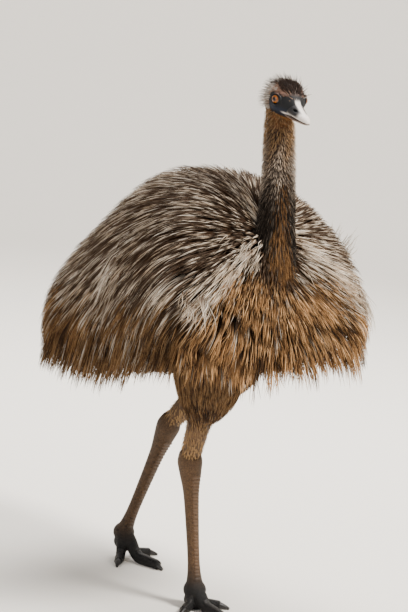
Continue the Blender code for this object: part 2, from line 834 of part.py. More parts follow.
def make_foot(side, shank):
    """The foot: the knuckle with its pad, three toes and their claws, flattened at the floor."""
    joint = at(*TOE_JOINT[side])
    knuckle = ball("foot_" + side, joint, KNUCKLE, Matrix.Identity(4), 10, 7)
    pad = ball("pad", joint - Vector((0, 0.006, 0.028)), (0.029, 0.036, 0.027), Matrix.Identity(4), 8, 6)
    pieces, claws = [pad], []
    for toe in TOES:
        toe_obj, claw_obj, scutes = make_toe(side, toe)
        pieces += [toe_obj] + scutes
        claws.append(finish(claw_obj, "claw_" + toe[0] + "_" + side, material("claw", (0.035, 0.032, 0.03), 0.35)))
    combine(knuckle, pieces, "UNION")
    combine(knuckle, [grown(shank)] + [grown(c) for c in claws] + [floor_cutter()], "DIFFERENCE")
    return knuckle, claws


def build():
    """Makes every part of the bird, each cut back to meet the ones before it, and returns them."""
    skin = material("bare blue-black skin", (0.05, 0.055, 0.065), 0.55)
    horn = material("horn", (0.42, 0.38, 0.33), 0.35)
    iris = material("eye", (0.30, 0.13, 0.03), 0.12)
    neck_down = material("neck feathers", (0.12, 0.10, 0.08), 0.85)
    coat = material("coat feathers", (0.21, 0.16, 0.11), 0.85)
    scales = material("scaled leg skin", (0.10, 0.085, 0.065), 0.6)

    parts = []
    bill_upper, bill_lower = make_bill()
    eyes = [make_eye("left"), make_eye("right")]
    head = make_head([bill_upper, bill_lower] + eyes)
    parts += [finish(bill_upper, "bill_upper", horn), finish(bill_lower, "bill_lower", horn)]
    parts += [finish(eyes[0], "eye_left", iris), finish(eyes[1], "eye_right", iris)]
    parts.append(finish(head, "head", skin))

    split, top = neck_share(NECK_SPLIT), neck_share(NECK_SPLIT + CLEARANCE)
    lowest = NECK_SPLIT + NAPE_LOCKS[1] * 0.5
    neck_upper = make_neck_part("neck_upper", top, 1.0, 8, NAPE_LOCKS, NAPE_TOP, lowest)
    combine(neck_upper, [grown(head)], "DIFFERENCE")
    neck_lower = make_neck_part("neck_lower", 0.0, split, 6, NECK_LOCKS, NECK_SPLIT - 0.02, 0.0)
    combine(neck_lower, [grown(neck_upper)], "DIFFERENCE")
    torso = make_torso()
    wings = [make_wing(side) for side in ("left", "right")]
    combine(torso, [grown(neck_lower), grown(neck_upper)] + [grown(w) for w in wings], "DIFFERENCE")
    tail = make_tail()
    combine(tail, [grown(torso)], "DIFFERENCE")
    parts += [finish(neck_upper, "neck_upper", neck_down), finish(neck_lower, "neck_lower", neck_down)]
    parts += [finish(torso, "torso", coat), finish(tail, "tail", coat)]
    parts += [finish(w, w.name, coat) for w in wings]

    for side in ("left", "right"):
        thigh = make_thigh_part(side)
        shank = make_shank(side)
        combine(thigh, [grown(torso)], "DIFFERENCE")
        combine(shank, [grown(thigh)], "DIFFERENCE")
        foot, claws = make_foot(side, shank)
        parts.append(finish(thigh, "thigh_" + side, coat))
        parts.append(finish(shank, "shank_" + side, scales))
        parts.append(finish(foot, "foot_" + side, scales))
        parts += claws
    return parts


def centre_on_footprint(parts):
    """Moves every part so that the origin is at the middle of the model's box and on the floor."""
    points = [v.co for part in parts for v in part.data.vertices]
    middle = [(min(p[k] for p in points) + max(p[k] for p in points)) / 2 for k in (0, 1)]
    for part in parts:
        part.data.transform(Matrix.Translation((-middle[0], -middle[1], 0)))


def main():
    """Clears the scene, builds the bird and puts its parts in a collection of its own."""
    for obj in list(bpy.data.objects):
        bpy.data.objects.remove(obj)
    parts = build()
    centre_on_footprint(parts)
    group = bpy.data.collections.new("emu")
    bpy.context.scene.collection.children.link(group)
    for part in parts:
        for owner in list(part.users_collection):
            owner.objects.unlink(part)
        group.objects.link(part)


main()
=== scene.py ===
"""Dresses the life-size emu: one skin from bill to toes, a shaggy coat of solid strands, eyes, bill, scutes
and claws, on a plain pale floor in soft light. Metres, +Z up. The bird faces -Y and its left side is +X."""

import math

import bpy
import numpy as np
from mathutils import Matrix, Vector, noise
from mathutils.bvhtree import BVHTree


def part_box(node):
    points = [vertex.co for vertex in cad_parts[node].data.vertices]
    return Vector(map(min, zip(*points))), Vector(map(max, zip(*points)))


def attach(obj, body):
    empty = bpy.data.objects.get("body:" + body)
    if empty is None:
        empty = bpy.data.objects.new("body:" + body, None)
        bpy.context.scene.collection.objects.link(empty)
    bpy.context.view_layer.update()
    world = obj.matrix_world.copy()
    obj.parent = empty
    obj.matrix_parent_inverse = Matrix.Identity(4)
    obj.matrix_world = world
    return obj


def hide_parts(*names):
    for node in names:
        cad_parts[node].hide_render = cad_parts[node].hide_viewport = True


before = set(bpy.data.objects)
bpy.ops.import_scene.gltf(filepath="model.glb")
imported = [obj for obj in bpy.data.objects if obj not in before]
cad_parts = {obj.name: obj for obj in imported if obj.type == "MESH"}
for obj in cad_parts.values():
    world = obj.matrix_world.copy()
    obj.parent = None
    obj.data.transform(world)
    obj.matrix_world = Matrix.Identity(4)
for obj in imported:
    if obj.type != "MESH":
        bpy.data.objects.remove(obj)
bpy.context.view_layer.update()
bpy.ops.object.select_all(action="DESELECT")

# Sizes of the bird, the same as in the solids

# Torso: distance ahead, half width, and the heights of its top, widest place and underside
COAT_STATIONS = np.array((
    (-0.497, 0.030, 0.700, 0.655, 0.600),
    (-0.468, 0.170, 0.805, 0.680, 0.545),
    (-0.375, 0.240, 0.939, 0.725, 0.540),
    (-0.200, 0.272, 1.092, 0.770, 0.545),
    (-0.040, 0.300, 1.206, 0.800, 0.568),
    (0.110, 0.330, 1.220, 0.815, 0.602),
    (0.240, 0.352, 1.190, 0.825, 0.638),
    (0.340, 0.355, 1.100, 0.830, 0.660),
    (0.415, 0.320, 0.975, 0.825, 0.665),
    (0.463, 0.230, 0.870, 0.805, 0.668),
    (0.482, 0.030, 0.790, 0.775, 0.740),
))
# Power of the torso's section, where 1 is an ellipse and less is fuller, the depth of the coat, how far its
# skirt hangs below the body, and the depth of the down on neck and thighs
SHOULDER_FULLNESS = 0.86
COAT_DEPTH = 0.045
SKIRT_DROP = 0.070
NECK_DOWN = 0.014
THIGH_DOWN = 0.016
# Neck from its foot up: distance ahead, to the left and up, and half width
NECK_LINE = np.array((
    (0.325, 0.000, 0.850, 0.080),
    (0.352, 0.000, 0.945, 0.067),
    (0.346, 0.000, 1.080, 0.056),
    (0.338, 0.000, 1.217, 0.049),
    (0.322, 0.000, 1.345, 0.045),
    (0.314, 0.000, 1.405, 0.040),
))
# Point between the eyes, and in degrees the head's turn to its right and the dip of its bill
EYE_LINE = (0.347, 0.000, 1.427)
HEAD_TURN = 8.0
HEAD_PITCH = 13.5
# Skull and bill in the head's own axes: distance ahead, half width, top and underside
SKULL_STATIONS = np.array((
    (-0.064, 0.012, 0.012, -0.020),
    (-0.055, 0.033, 0.033, -0.037),
    (-0.030, 0.0455, 0.045, -0.047),
    (0.000, 0.0470, 0.045, -0.047),
    (0.024, 0.0370, 0.031, -0.042),
    (0.045, 0.0235, 0.012, -0.036),
    (0.060, 0.0130, 0.000, -0.031),
))
BILL_STATIONS = np.array((
    (0.029, 0.0235, 0.0125, -0.0345),
    (0.044, 0.0245, 0.0085, -0.0355),
    (0.062, 0.0220, 0.0010, -0.0350),
    (0.085, 0.0175, -0.0075, -0.0340),
    (0.104, 0.0120, -0.0130, -0.0325),
    (0.116, 0.0050, -0.0200, -0.0290),
))
# Height of the mouth's line, its gap, and how high in each half of the bill its widest line lies
MOUTH_HEIGHT = -0.0262
MOUTH_GAP = 0.0008
BILL_EDGE = 0.22
# Eye, ear and nostril: places ahead, to the side and up. An eye looks ahead by EYE_LOOK for 1 to the side
EYE_RADIUS = 0.0165
EYE_PLACE = (0.004, 0.0360, 0.004)
EYE_LOOK = 0.42
EAR_PLACE = (-0.030, 0.0450, -0.012)
NOSTRIL_PLACE = (0.064, 0.0145, -0.0075)
# Joints of the legs: distance ahead, to the left and up
ANKLE = {"right": (0.134, -0.050, 0.413), "left": (-0.118, 0.060, 0.445)}
TOE_JOINT = {"right": (0.198, -0.040, 0.050), "left": (-0.256, 0.030, 0.078)}
KNEE = {"right": (0.268, -0.115, 0.780), "left": (0.120, 0.115, 0.760)}
# Shank from the toe joint and drumstick from the ankle: share of the length, half width and half depth
SHANK_SIZES = np.array((
    (-0.07, 0.019, 0.019),
    (0.00, 0.029, 0.028),
    (0.08, 0.0215, 0.021),
    (0.22, 0.0165, 0.018),
    (0.50, 0.0180, 0.020),
    (0.74, 0.0215, 0.024),
    (0.88, 0.0300, 0.031),
    (0.97, 0.0345, 0.036),
    (1.06, 0.0300, 0.033),
))
THIGH_SIZES = np.array((
    (0.08, 0.030, 0.031),
    (0.25, 0.034, 0.036),
    (0.36, 0.041, 0.046),
    (0.47, 0.062, 0.080),
    (0.62, 0.082, 0.108),
    (0.80, 0.090, 0.118),
    (1.00, 0.070, 0.090),
))
# Toes: name, length, half thickness, and the way each points on the right and on the left foot, in degrees to
# the bird's left
TOES = (
    ("middle", 0.168, 0.0185, 0, 13),
    ("inner", 0.108, 0.0160, 52, -42),
    ("outer", 0.112, 0.0160, -58, 76),
)
# Half sizes of the toe joint, length of a claw, and the place by the neck's foot that the coat parts from
KNUCKLE = (0.0315, 0.033, 0.030)
CLAW_LENGTH = 0.036
COAT_SOURCE = (0.330, 0.000, 1.080)

# The render's coat. Plumes of the torso: length, pieces that they are divided over, how far a strand strays,
# and how far the tips stand off the outline
BODY_LENGTH = 0.165
BODY_PIECES = 8
COAT_WANDER = 0.0075
COAT_RISE = 0.006
# How far ahead the neck's foot lies, and how far from its parting the collar's plumes have their roots
NECK_FOOT = 0.35
COLLAR_REACH = 0.24
# Least distance between two roots, half width of a plume, and strands in each
ROOT_SPACING = {
    "body": 0.0190, "collar": 0.0125, "belly": 0.020, "neck": 0.0049, "thigh": 0.0082, "head": 0.0015,
}
PLUME_WIDTH = {"body": 0.0125, "belly": 0.011, "neck": 0.0026, "loose": 0.016}
STRANDS = {"body": 11, "collar": 7, "belly": 7, "neck": 3, "thigh": 4, "loose": 4}
# Least and greatest width of a strand, and its thickness
STRAND_WIDTHS = {
    "body": (0.0020, 0.0044), "neck": (0.0014, 0.0027), "thigh": (0.0018, 0.0036), "head": (0.0009, 0.0017),
    "loose": (0.0014, 0.0030),
}
STRAND_THICKNESS = {"body": 0.0012, "neck": 0.0008, "thigh": 0.0010, "head": 0.0006, "loose": 0.0009}
# Random points tried for each square of the spacing, and the seeds of the draws, of the roots and the strands
TRIES = 7
SEEDS = {
    "body": (11, 12), "collar": 13, "belly": 14, "neck": (21, 22), "thigh": (31, 32), "head": (41, 42),
    "loose": 51,
}
# Height of the line that the torso's coat is unwrapped round, side of a strand's patch on the UV map, and the
# part of the map that the patches' corners take up
UNWRAP_HEIGHT = 0.82
PATCH_SIDE = 0.003
PATCH_AREA = 0.994
# The photograph's camera: lens in millimetres on a sensor 36 mm high, dip and roll in degrees, the level way
# it looks, and its place before the move to the model's own origin
CAMERA_LENS = 105.88
CAMERA_PITCH = 9.179
CAMERA_ROLL = 5.3
CAMERA_WAY = (0.6157, 0.7880)
CAMERA_PLACE = (-3.0486, -3.9721, 1.6293)
# Floor: radius of its flat part, radius of the curve round it, and height of the wall over that
FLOOR_RADIUS = 7.0
CURVE_RADIUS = 3.0
WALL_HEIGHT = 2.5
# Lights: name, place, the point each is aimed at, side, power in watts, and tone
LIGHTS = (
    ("key", (1.6, -3.2, 4.6), (0, 0, 0.8), 1.3, 560, (1.0, 0.97, 0.92)),
    ("fill", (-4.5, -2.0, 2.2), (0, 0, 0.8), 3.0, 90, (0.95, 0.97, 1.0)),
    ("top", (0.8, 1.2, 4.5), (0, 0, 0.8), 2.5, 260, (1.0, 0.98, 0.95)),
    ("backdrop", (2.0, 2.0, 5.0), (5.0, 6.5, 1.0), 4.0, 500, (1.0, 0.99, 0.97)),
)
# Plates down the front of a shank, and half the thickness of a plate
SHANK_SCUTES = 30
SCUTE_THICKNESS = 0.0028
# Cells of the remeshed skin
LEG_CELL = 0.0022
HEAD_CELL = 0.0014


def raw(forward, left, up):
    """A point given as distances ahead, to the left and up, before it is moved to the model's own origin."""
    return Vector((left, -forward, up))


def head_axes():
    """The head's own axes before the move to the origin: ahead along the bill, to its left, and up."""
    turn = Matrix.Rotation(math.radians(-HEAD_TURN), 4, "Z")
    pitch = Matrix.Rotation(math.radians(HEAD_PITCH), 4, "X")
    return Matrix.Translation(raw(*EYE_LINE)) @ turn @ pitch


def middle_of_box(node):
    """The middle of the box of one solid of the frame."""
    low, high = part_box(node)
    return (low + high) / 2


# How far the model's origin lies from the point that the sizes count from, found from the two eyes
EYES_MIDDLE = (middle_of_box("eye_left") + middle_of_box("eye_right")) / 2
ORIGIN_MOVE = EYES_MIDDLE - head_axes() @ Vector((0, -EYE_PLACE[0], EYE_PLACE[2]))
ORIGIN_MOVE.z = 0.0


def at(forward, left, up):
    """A point of the bird, given as distances ahead, to its left and above the floor."""
    return raw(forward, left, up) + ORIGIN_MOVE


def head_frame():
    """The head's own axes in the model: ahead along the bill, to its left, and up from the eye line."""
    return Matrix.Translation(ORIGIN_MOVE) @ head_axes()


def head_point(ahead, left, up):
    """A point given in the head's own axes, as a place in the model."""
    return head_frame() @ Vector((left, -ahead, up))


def bird(points):
    """Points of the model as rows of distance ahead, to the left and up."""
    points = np.asarray(points, float)
    return np.stack([
        -(points[..., 1] - ORIGIN_MOVE.y),
        points[..., 0] - ORIGIN_MOVE.x,
        points[..., 2],
    ], axis=-1)


def smooth_row(rows, share):
    """All the sizes of a table of stations at a share of its length, on a curve through its rows."""
    place = min(max(share, 0.0), 1.0) * (len(rows) - 1)
    index = min(int(place), len(rows) - 2)
    t = place - index
    a, b, c, d = (rows[min(max(index + k, 0), len(rows) - 1)] for k in (-1, 0, 1, 2))
    bend = (2 * a - 5 * b + 4 * c - d) * t + (3 * b - 3 * c + d - a) * t * t
    return b + 0.5 * t * ((c - a) + bend)


def ramp(value, low, high):
    """0 below the low value, 1 above the high one, and a smooth rise between them."""
    share = np.clip((value - low) / (high - low), 0, 1)
    return share * share * (3 - 2 * share)


# Finishes


def linear(text):
    """A colour given as sRGB hex, as linear red, green and blue."""
    parts = [int(text[i:i + 2], 16) / 255 for i in (1, 3, 5)]
    return np.array([p / 12.92 if p <= 0.04045 else ((p + 0.055) / 1.055) ** 2.4 for p in parts])


def add_node(tree, kind, inputs=None, **settings):
    """Adds one shader node with its settings, and sets or links its inputs."""
    made = tree.nodes.new(kind)
    for key, value in settings.items():
        setattr(made, key, value)
    for key, value in (inputs or {}).items():
        if isinstance(value, bpy.types.NodeSocket):
            tree.links.new(value, made.inputs[key])
        else:
            made.inputs[key].default_value = value
    return made


def new_material(name):
    """An empty material of that name, its tree, and its shader."""
    made = bpy.data.materials.new(name)
    made.use_nodes = True
    return made, made.node_tree, made.node_tree.nodes["Principled BSDF"]


def scale_gaps(tree, place, scale_mm):
    """The dark gaps between flat scales, by the share of scales that the piece carries at each place. A gap
    takes the outer sixth of a scale."""
    share = add_node(tree, "ShaderNodeAttribute", attribute_name="scaly")
    cells = add_node(tree, "ShaderNodeTexVoronoi", {
        "Vector": place.outputs["Object"], "Scale": 1000 / scale_mm,
    }, feature="DISTANCE_TO_EDGE")
    gap = add_node(tree, "ShaderNodeMapRange", {
        "Value": cells.outputs["Distance"], "From Max": 0.16, "To Min": 1.0, "To Max": 0.0,
    })
    return add_node(tree, "ShaderNodeMath", {0: gap.outputs["Result"], 1: share.outputs["Fac"]},
                    operation="MULTIPLY").outputs["Value"]


def painted(name, roughness, gloss, mottle_mm, mottle, bump_mm=1, bump_depth_mm=0, scale_mm=0, coat=0.0):
    """A finish in the piece's own tint, made lighter and darker by a share in patches of a size, with a
    relief of a size and depth, and with flat scales where their size is given."""
    made, tree, shader = new_material(name)
    tint = add_node(tree, "ShaderNodeAttribute", attribute_name="tint")
    place = add_node(tree, "ShaderNodeTexCoord")
    cloud = add_node(tree, "ShaderNodeTexNoise", {
        "Vector": place.outputs["Object"], "Scale": 1000 / mottle_mm, "Detail": 3.0, "Roughness": 0.6,
    })
    level = add_node(tree, "ShaderNodeMapRange", {
        "Value": cloud.outputs["Fac"], "From Min": 0.3, "From Max": 0.7,
        "To Min": 1 - mottle, "To Max": 1 + mottle,
    }).outputs["Result"]
    if scale_mm:
        gaps = scale_gaps(tree, place, scale_mm)
        level = add_node(tree, "ShaderNodeMath", {0: gaps, 1: -0.55, 2: level}, operation="MULTIPLY_ADD")
        level = level.outputs["Value"]
    shade = add_node(tree, "ShaderNodeVectorMath", {
        0: tint.outputs["Color"], "Scale": level,
    }, operation="SCALE")
    tree.links.new(shade.outputs["Vector"], shader.inputs["Base Color"])
    shader.inputs["Roughness"].default_value = roughness
    shader.inputs["Specular IOR Level"].default_value = gloss
    shader.inputs["Coat Weight"].default_value = coat
    if bump_depth_mm:
        fine = add_node(tree, "ShaderNodeTexNoise", {
            "Vector": place.outputs["Object"], "Scale": 1000 / bump_mm, "Detail": 2.0,
        })
        height = fine.outputs["Fac"]
        if scale_mm:
            height = add_node(tree, "ShaderNodeMath", {0: gaps, 1: -1.0, 2: height}, operation="MULTIPLY_ADD")
            height = height.outputs["Value"]
        relief = add_node(tree, "ShaderNodeBump", {
            "Height": height, "Distance": bump_depth_mm / 1000, "Strength": 0.8,
        })
        tree.links.new(relief.outputs["Normal"], shader.inputs["Normal"])
    return made


# Shapes


def select_only(*pieces):
    """Selects these pieces and nothing else, and makes the first one active."""
    bpy.ops.object.select_all(action="DESELECT")
    for piece in pieces:
        piece.select_set(True)
    bpy.context.view_layer.objects.active = pieces[0]


def in_edit_mode(obj, step):
    """Runs one step of mesh operators on all of a piece in edit mode."""
    select_only(obj)
    bpy.ops.object.mode_set(mode="EDIT")
    bpy.ops.mesh.select_all(action="SELECT")
    step()
    bpy.ops.object.mode_set(mode="OBJECT")


def use_modifier(obj, kind, **settings):
    """Adds one modifier to a piece and applies it."""
    select_only(obj)
    made = obj.modifiers.new(kind, kind)
    for key, value in settings.items():
        setattr(made, key, value)
    bpy.ops.object.modifier_apply(modifier=made.name)


def join_pieces(name, pieces):
    """Joins pieces into one object."""
    select_only(*pieces)
    bpy.ops.object.join()
    pieces[0].name = pieces[0].data.name = name
    return pieces[0]


def remove(obj):
    """Deletes a helper piece."""
    bpy.data.objects.remove(obj)


def ball(segments, ring_count, **settings):
    """A ball with its place and shape in its mesh."""
    bpy.ops.mesh.primitive_uv_sphere_add(segments=segments, ring_count=ring_count, **settings)
    bpy.ops.object.transform_apply()
    return bpy.context.object


def use_on(obj, operation, other):
    """Joins another closed piece to this one or cuts it out of it, and deletes it."""
    use_modifier(obj, "BOOLEAN", object=other, operation=operation, solver="MANIFOLD")
    remove(other)


def finished(obj, finish):
    """Gives a piece its finish and smooth shading."""
    obj.data.materials.clear()
    obj.data.materials.append(finish)
    obj.data.shade_smooth()
    return obj


def shaped(name, rings):
    """A closed form: a sphere whose rings of points are moved in turn to the given sections."""
    rows, count = len(rings), len(rings[0])
    bpy.ops.object.select_all(action="DESELECT")
    bpy.ops.mesh.primitive_uv_sphere_add(segments=count, ring_count=rows + 1)
    obj = bpy.context.object
    obj.name = obj.data.name = name
    for v in obj.data.vertices:
        row = round(math.acos(max(-1.0, min(1.0, v.co.z))) / math.pi * (rows + 1))
        if row == 0:
            v.co = Vector(np.mean(rings[0], axis=0))
        elif row == rows + 1:
            v.co = Vector(np.mean(rings[-1], axis=0))
        else:
            index = round(math.atan2(v.co.y, v.co.x) / (2 * math.pi) * count) % count
            v.co = Vector(rings[row - 1][index])
    in_edit_mode(obj, lambda: bpy.ops.mesh.normals_make_consistent(inside=False))
    return obj


def oval(centre, side, up, half_width, half_up, half_down, count, power=1.0):
    """A section round a centre, with its own height above and below, fuller than an ellipse under power 1."""
    angles = 2 * np.pi * (np.arange(count) + 0.5) / count
    s, c = np.sin(angles), np.cos(angles)
    across = np.sign(s) * np.abs(s) ** power * half_width
    high = np.sign(c) * np.abs(c) ** power * np.where(c > 0, half_up, half_down)
    return np.array(centre) + np.outer(across, np.array(side)) + np.outer(high, np.array(up))


def tube(name, points, sizes, count, side=Vector((1, 0, 0))):
    """A form round a line of points, with an oval section of the given half width and half depth at each."""
    rings = []
    for i, point in enumerate(points):
        along = (points[min(i + 1, len(points) - 1)] - points[max(i - 1, 0)]).normalized()
        across = (side - along * side.dot(along)).normalized()
        depth = along.cross(across)
        width, thick = sizes[i]
        rings.append(oval(point, across, depth, width, thick, thick, count))
    return shaped(name, rings)


def torso_form(name, inset, skirt, rows=36, count=48):
    """The torso drawn in by an inset all round and lifted below by the skirt's drop."""
    rings = []
    middle = (COAT_STATIONS[0][0] + COAT_STATIONS[-1][0]) / 2
    reach = (COAT_STATIONS[-1][0] - COAT_STATIONS[0][0]) / 2
    for i in range(rows):
        forward, half, top, widest, bottom = smooth_row(COAT_STATIONS, i / (rows - 1))
        forward = middle + (forward - middle) * (reach - inset) / reach
        half = max(half - inset, 0.012)
        up, down = max(top - inset - widest, 0.012), max(widest - bottom - skirt, 0.012)
        centre = at(forward, 0, widest)
        rings.append(oval(centre, (1, 0, 0), (0, 0, 1), half, up, down, count, SHOULDER_FULLNESS))
    return shaped(name, rings)


def neck_form(name, inset, rows=30, count=32):
    """The neck as a round tube, drawn in by an inset."""
    found = [smooth_row(NECK_LINE, i / (rows - 1)) for i in range(rows)]
    return tube(name, [at(*r[:3]) for r in found], [(r[3] - inset, r[3] - inset) for r in found], count)


def head_form(name, rows, count, steps, power=1.0, inset=0.0, floor=None, roof=None):
    """A form along the head through rows of half width, top and bottom, cut at a floor or a roof height."""
    rings = []
    turn = head_frame().to_3x3()
    for i in range(steps):
        ahead, half, top, bottom = smooth_row(rows, i / (steps - 1))
        top = top - inset if roof is None else min(top - inset, roof)
        bottom = bottom + inset if floor is None else max(bottom + inset, floor)
        tall = max(top - bottom, 0.0024)
        widest = 0.5 if floor is None and roof is None else BILL_EDGE if roof is None else 1 - BILL_EDGE
        rings.append(oval(
            head_point(ahead, 0, bottom + tall * widest), turn @ Vector((1, 0, 0)), turn @ Vector((0, 0, 1)),
            max(half - inset, 0.001), tall * (1 - widest), tall * widest, count, power,
        ))
    return shaped(name, rings)


def limb_rows(sizes, low, high, steps, bow=0.0, inset=0.0):
    """Centre points and half sizes between two joints from a table of shares, on a smooth curve that is bowed
    forward by a small distance in its middle."""
    points, found = [], []
    for i in range(steps):
        share, width, depth = smooth_row(sizes, i / (steps - 1))
        point = at(*low).lerp(at(*high), share)
        points.append(point + raw(bow * math.sin(math.pi * min(max(share, 0.0), 1.0)), 0, 0))
        found.append((width - inset, depth - inset))
    return points, found


def toe_line(side, toe, steps=18):
    """Centre points of one toe from inside the joint down to the floor and along it, and its direction."""
    _, length, thickness, turn_right, turn_left = toe
    joint = at(*TOE_JOINT[side])
    angle = math.radians(turn_left if side == "left" else turn_right)
    way = Vector((math.sin(angle), -math.cos(angle), 0))
    reach = length - CLAW_LENGTH * 0.6
    lead = reach - (0.012 if side == "right" else 0.0)
    drop = joint.z - thickness * 0.75
    points = []
    for i in range(steps):
        share = 0.10 + 0.90 * i / (steps - 1)
        fall = min(share / 0.5, 1.0)
        fall = fall * fall * (3 - 2 * fall)
        place = joint + way * (lead * share)
        place.z = joint.z - drop * fall - thickness * 0.18 * max(share - 0.6, 0)
        points.append(place)
    return points, way


def triangles_of(obj):
    """The corners of a piece's triangles. Blender gives a new ball's faces in an order that changes from run
    to run. Here each face starts at its lowest corner and the triangles are sorted by place, so that every
    run gives the same coat."""
    found = []
    for face in obj.data.polygons:
        corners = [tuple(obj.data.vertices[i].co) for i in face.vertices]
        start = corners.index(min(corners))
        corners = corners[start:] + corners[:start]
        found += [(corners[0], corners[k], corners[k + 1]) for k in range(1, len(corners) - 1)]
    return np.array(sorted(found))


def surface_of(obj):
    """A search tree over a piece, for the nearest point and normal of its surface."""
    corners = triangles_of(obj).reshape(-1, 3)
    return BVHTree.FromPolygons(corners.tolist(), np.arange(len(corners)).reshape(-1, 3).tolist())


# The coat


def lie(point, normal):
    """Which way the coat lies: away from the foot of the neck, down, and outwards from the back's parting."""
    low, high = COAT_STATIONS[4][4], COAT_STATIONS[4][2]
    height = min(max((point.z - low) / (high - low), 0.0), 1.0)
    away = (point - at(*COAT_SOURCE)).normalized()
    across = point.x - ORIGIN_MOVE.x
    side = math.copysign(min(abs(across) / 0.04, 1.0), across)
    way = away + raw(-0.9 * height, 0.6 * height * side, -1.1 + 0.5 * height)
    return (way - normal * way.dot(normal)).normalized()


def down_lie(point, normal):
    """The lie on neck and legs: straight down the surface."""
    way = Vector((0, 0, -1))
    return (way - normal * way.dot(normal)).normalized()


def back_lie(point, normal):
    """The lie under the belly: backwards and a little down."""
    way = raw(-1.0, 0, -0.25)
    return (way - normal * way.dot(normal)).normalized()


def scatter(obj, spacing, accept, seed):
    """Seeded random points on a piece, none nearer to another than the spacing, where accept says yes."""
    corners = triangles_of(obj)
    areas = np.linalg.norm(np.cross(corners[:, 1] - corners[:, 0], corners[:, 2] - corners[:, 0]), axis=1)
    draw = np.random.default_rng(seed)
    count = int(areas.sum() / 2 / spacing ** 2 * TRIES)
    picked = corners[draw.choice(len(areas), count, p=areas / areas.sum())]
    u, v = draw.random((2, count, 1))
    flip = u + v > 1
    u, v = np.where(flip, 1 - u, u), np.where(flip, 1 - v, v)
    points = picked[:, 0] + (picked[:, 1] - picked[:, 0]) * u + (picked[:, 2] - picked[:, 0]) * v
    cells, found = {}, []
    for p in points:
        key = tuple((p // spacing).astype(int))
        near = [
            q for dx in (-1, 0, 1) for dy in (-1, 0, 1) for dz in (-1, 0, 1)
            for q in cells.get((key[0] + dx, key[1] + dy, key[2] + dz), ())
        ]
        if any((p[0] - q[0]) ** 2 + (p[1] - q[1]) ** 2 + (p[2] - q[2]) ** 2 < spacing ** 2 for q in near):
            continue
        cells.setdefault(key, []).append(p)
        if accept(p):
            found.append(Vector(p))
    return found


def flowing_lines(surface, starts, lengths, depth, rise, steps, way, overhang=-0.2, floors=None):
    """Lines that climb from their roots, a depth under the surface, to a rise over it. They follow its lie,
    and hang where it turns under. A line that would end below its own floor is made shorter."""
    lines, normals = [], []
    for number, (start, length) in enumerate(zip(starts, lengths)):
        floor = floors[number] if floors is not None else -1.0
        for _ in range(2):
            place, normal, _, _ = surface.find_nearest(start)
            line, ups = [], []
            for i in range(steps + 1):
                share = i / steps
                line.append(place + normal * (rise * share - depth * (1 - share) ** 1.7))
                ups.append(normal)
                if normal.z < overhang:
                    place = place + Vector((0, 0, -length / steps))
                else:
                    place, normal, _, _ = surface.find_nearest(place + way(place, normal) * (length / steps))
            drop = start.z - line[-1].z
            if line[-1].z >= floor or drop <= 0:
                break
            length *= max((start.z - floor) / drop, 0.4)
        lines.append(line)
        normals.append(ups)
    return np.array(lines), np.array(normals)


def fringe_height(points):
    """How low the coat hangs under each point."""
    rows = COAT_STATIONS[1:-1]
    return np.interp(bird(points)[..., 0], rows[:, 0], rows[:, 4])


def unit(vectors):
    """Vectors of length 1."""
    return vectors / np.maximum(np.linalg.norm(vectors, axis=-1, keepdims=True), 1e-9)


def split_lines(lines, normals, count, half_width, wander, lift, steps, draw, shortest=0.6):
    """Splits each line into strands that spread to a half width and lift, with their own lengths and bends.
    Gives strand lines and normals, the place of each across its plume from -1 to 1, and its plume."""
    groups, points = lines.shape[:2]
    along = unit(np.gradient(lines, axis=1))
    across = unit(np.cross(along, normals))
    up = np.cross(across, along)
    place = np.sort(draw.uniform(-1, 1, (groups, count)), axis=1)
    reach = draw.uniform(shortest, 1.0, (groups, count)) * (1 - 0.15 * np.abs(place))
    share = np.linspace(0, 1, steps + 1)
    t = reach[..., None] * share * (points - 1)
    low = np.minimum(t.astype(int), points - 2)
    part = (t - low)[..., None]
    index = np.arange(groups)[:, None, None]

    def along_line(values):
        return values[index, low] * (1 - part) + values[index, low + 1] * part

    centre, sideways, upward = along_line(lines), along_line(across), along_line(up)
    length = np.linalg.norm(np.diff(lines, axis=1), axis=2).sum(axis=1)
    wander = (wander * np.clip(length / 0.12, 0.15, 1.0))[:, None, None]
    bend = draw.normal(0, 1, (groups, count, 1)) * share ** 1.6
    waves = draw.uniform(0, 6.28, (groups, count, 1))
    wave = np.sin(share * 5.0 + waves) * share * 0.35
    spread = np.asarray(half_width).reshape(-1, 1, 1) * place[..., None]
    spread = spread * (0.45 + 0.75 * share - 0.35 * share ** 2)
    stray = (0.25 + 0.75 * np.abs(place))[..., None]
    side = spread + wander * (bend + wave) * stray
    high = lift * (draw.uniform(-1, 1, (groups, count, 1)) * (0.35 + 0.65 * share))
    strands = centre + sideways * side[..., None] + upward * high[..., None]
    owner = np.repeat(np.arange(groups), count)
    flat = (groups * count, steps + 1, 3)
    return strands.reshape(flat), upward.reshape(flat), place.reshape(-1), owner


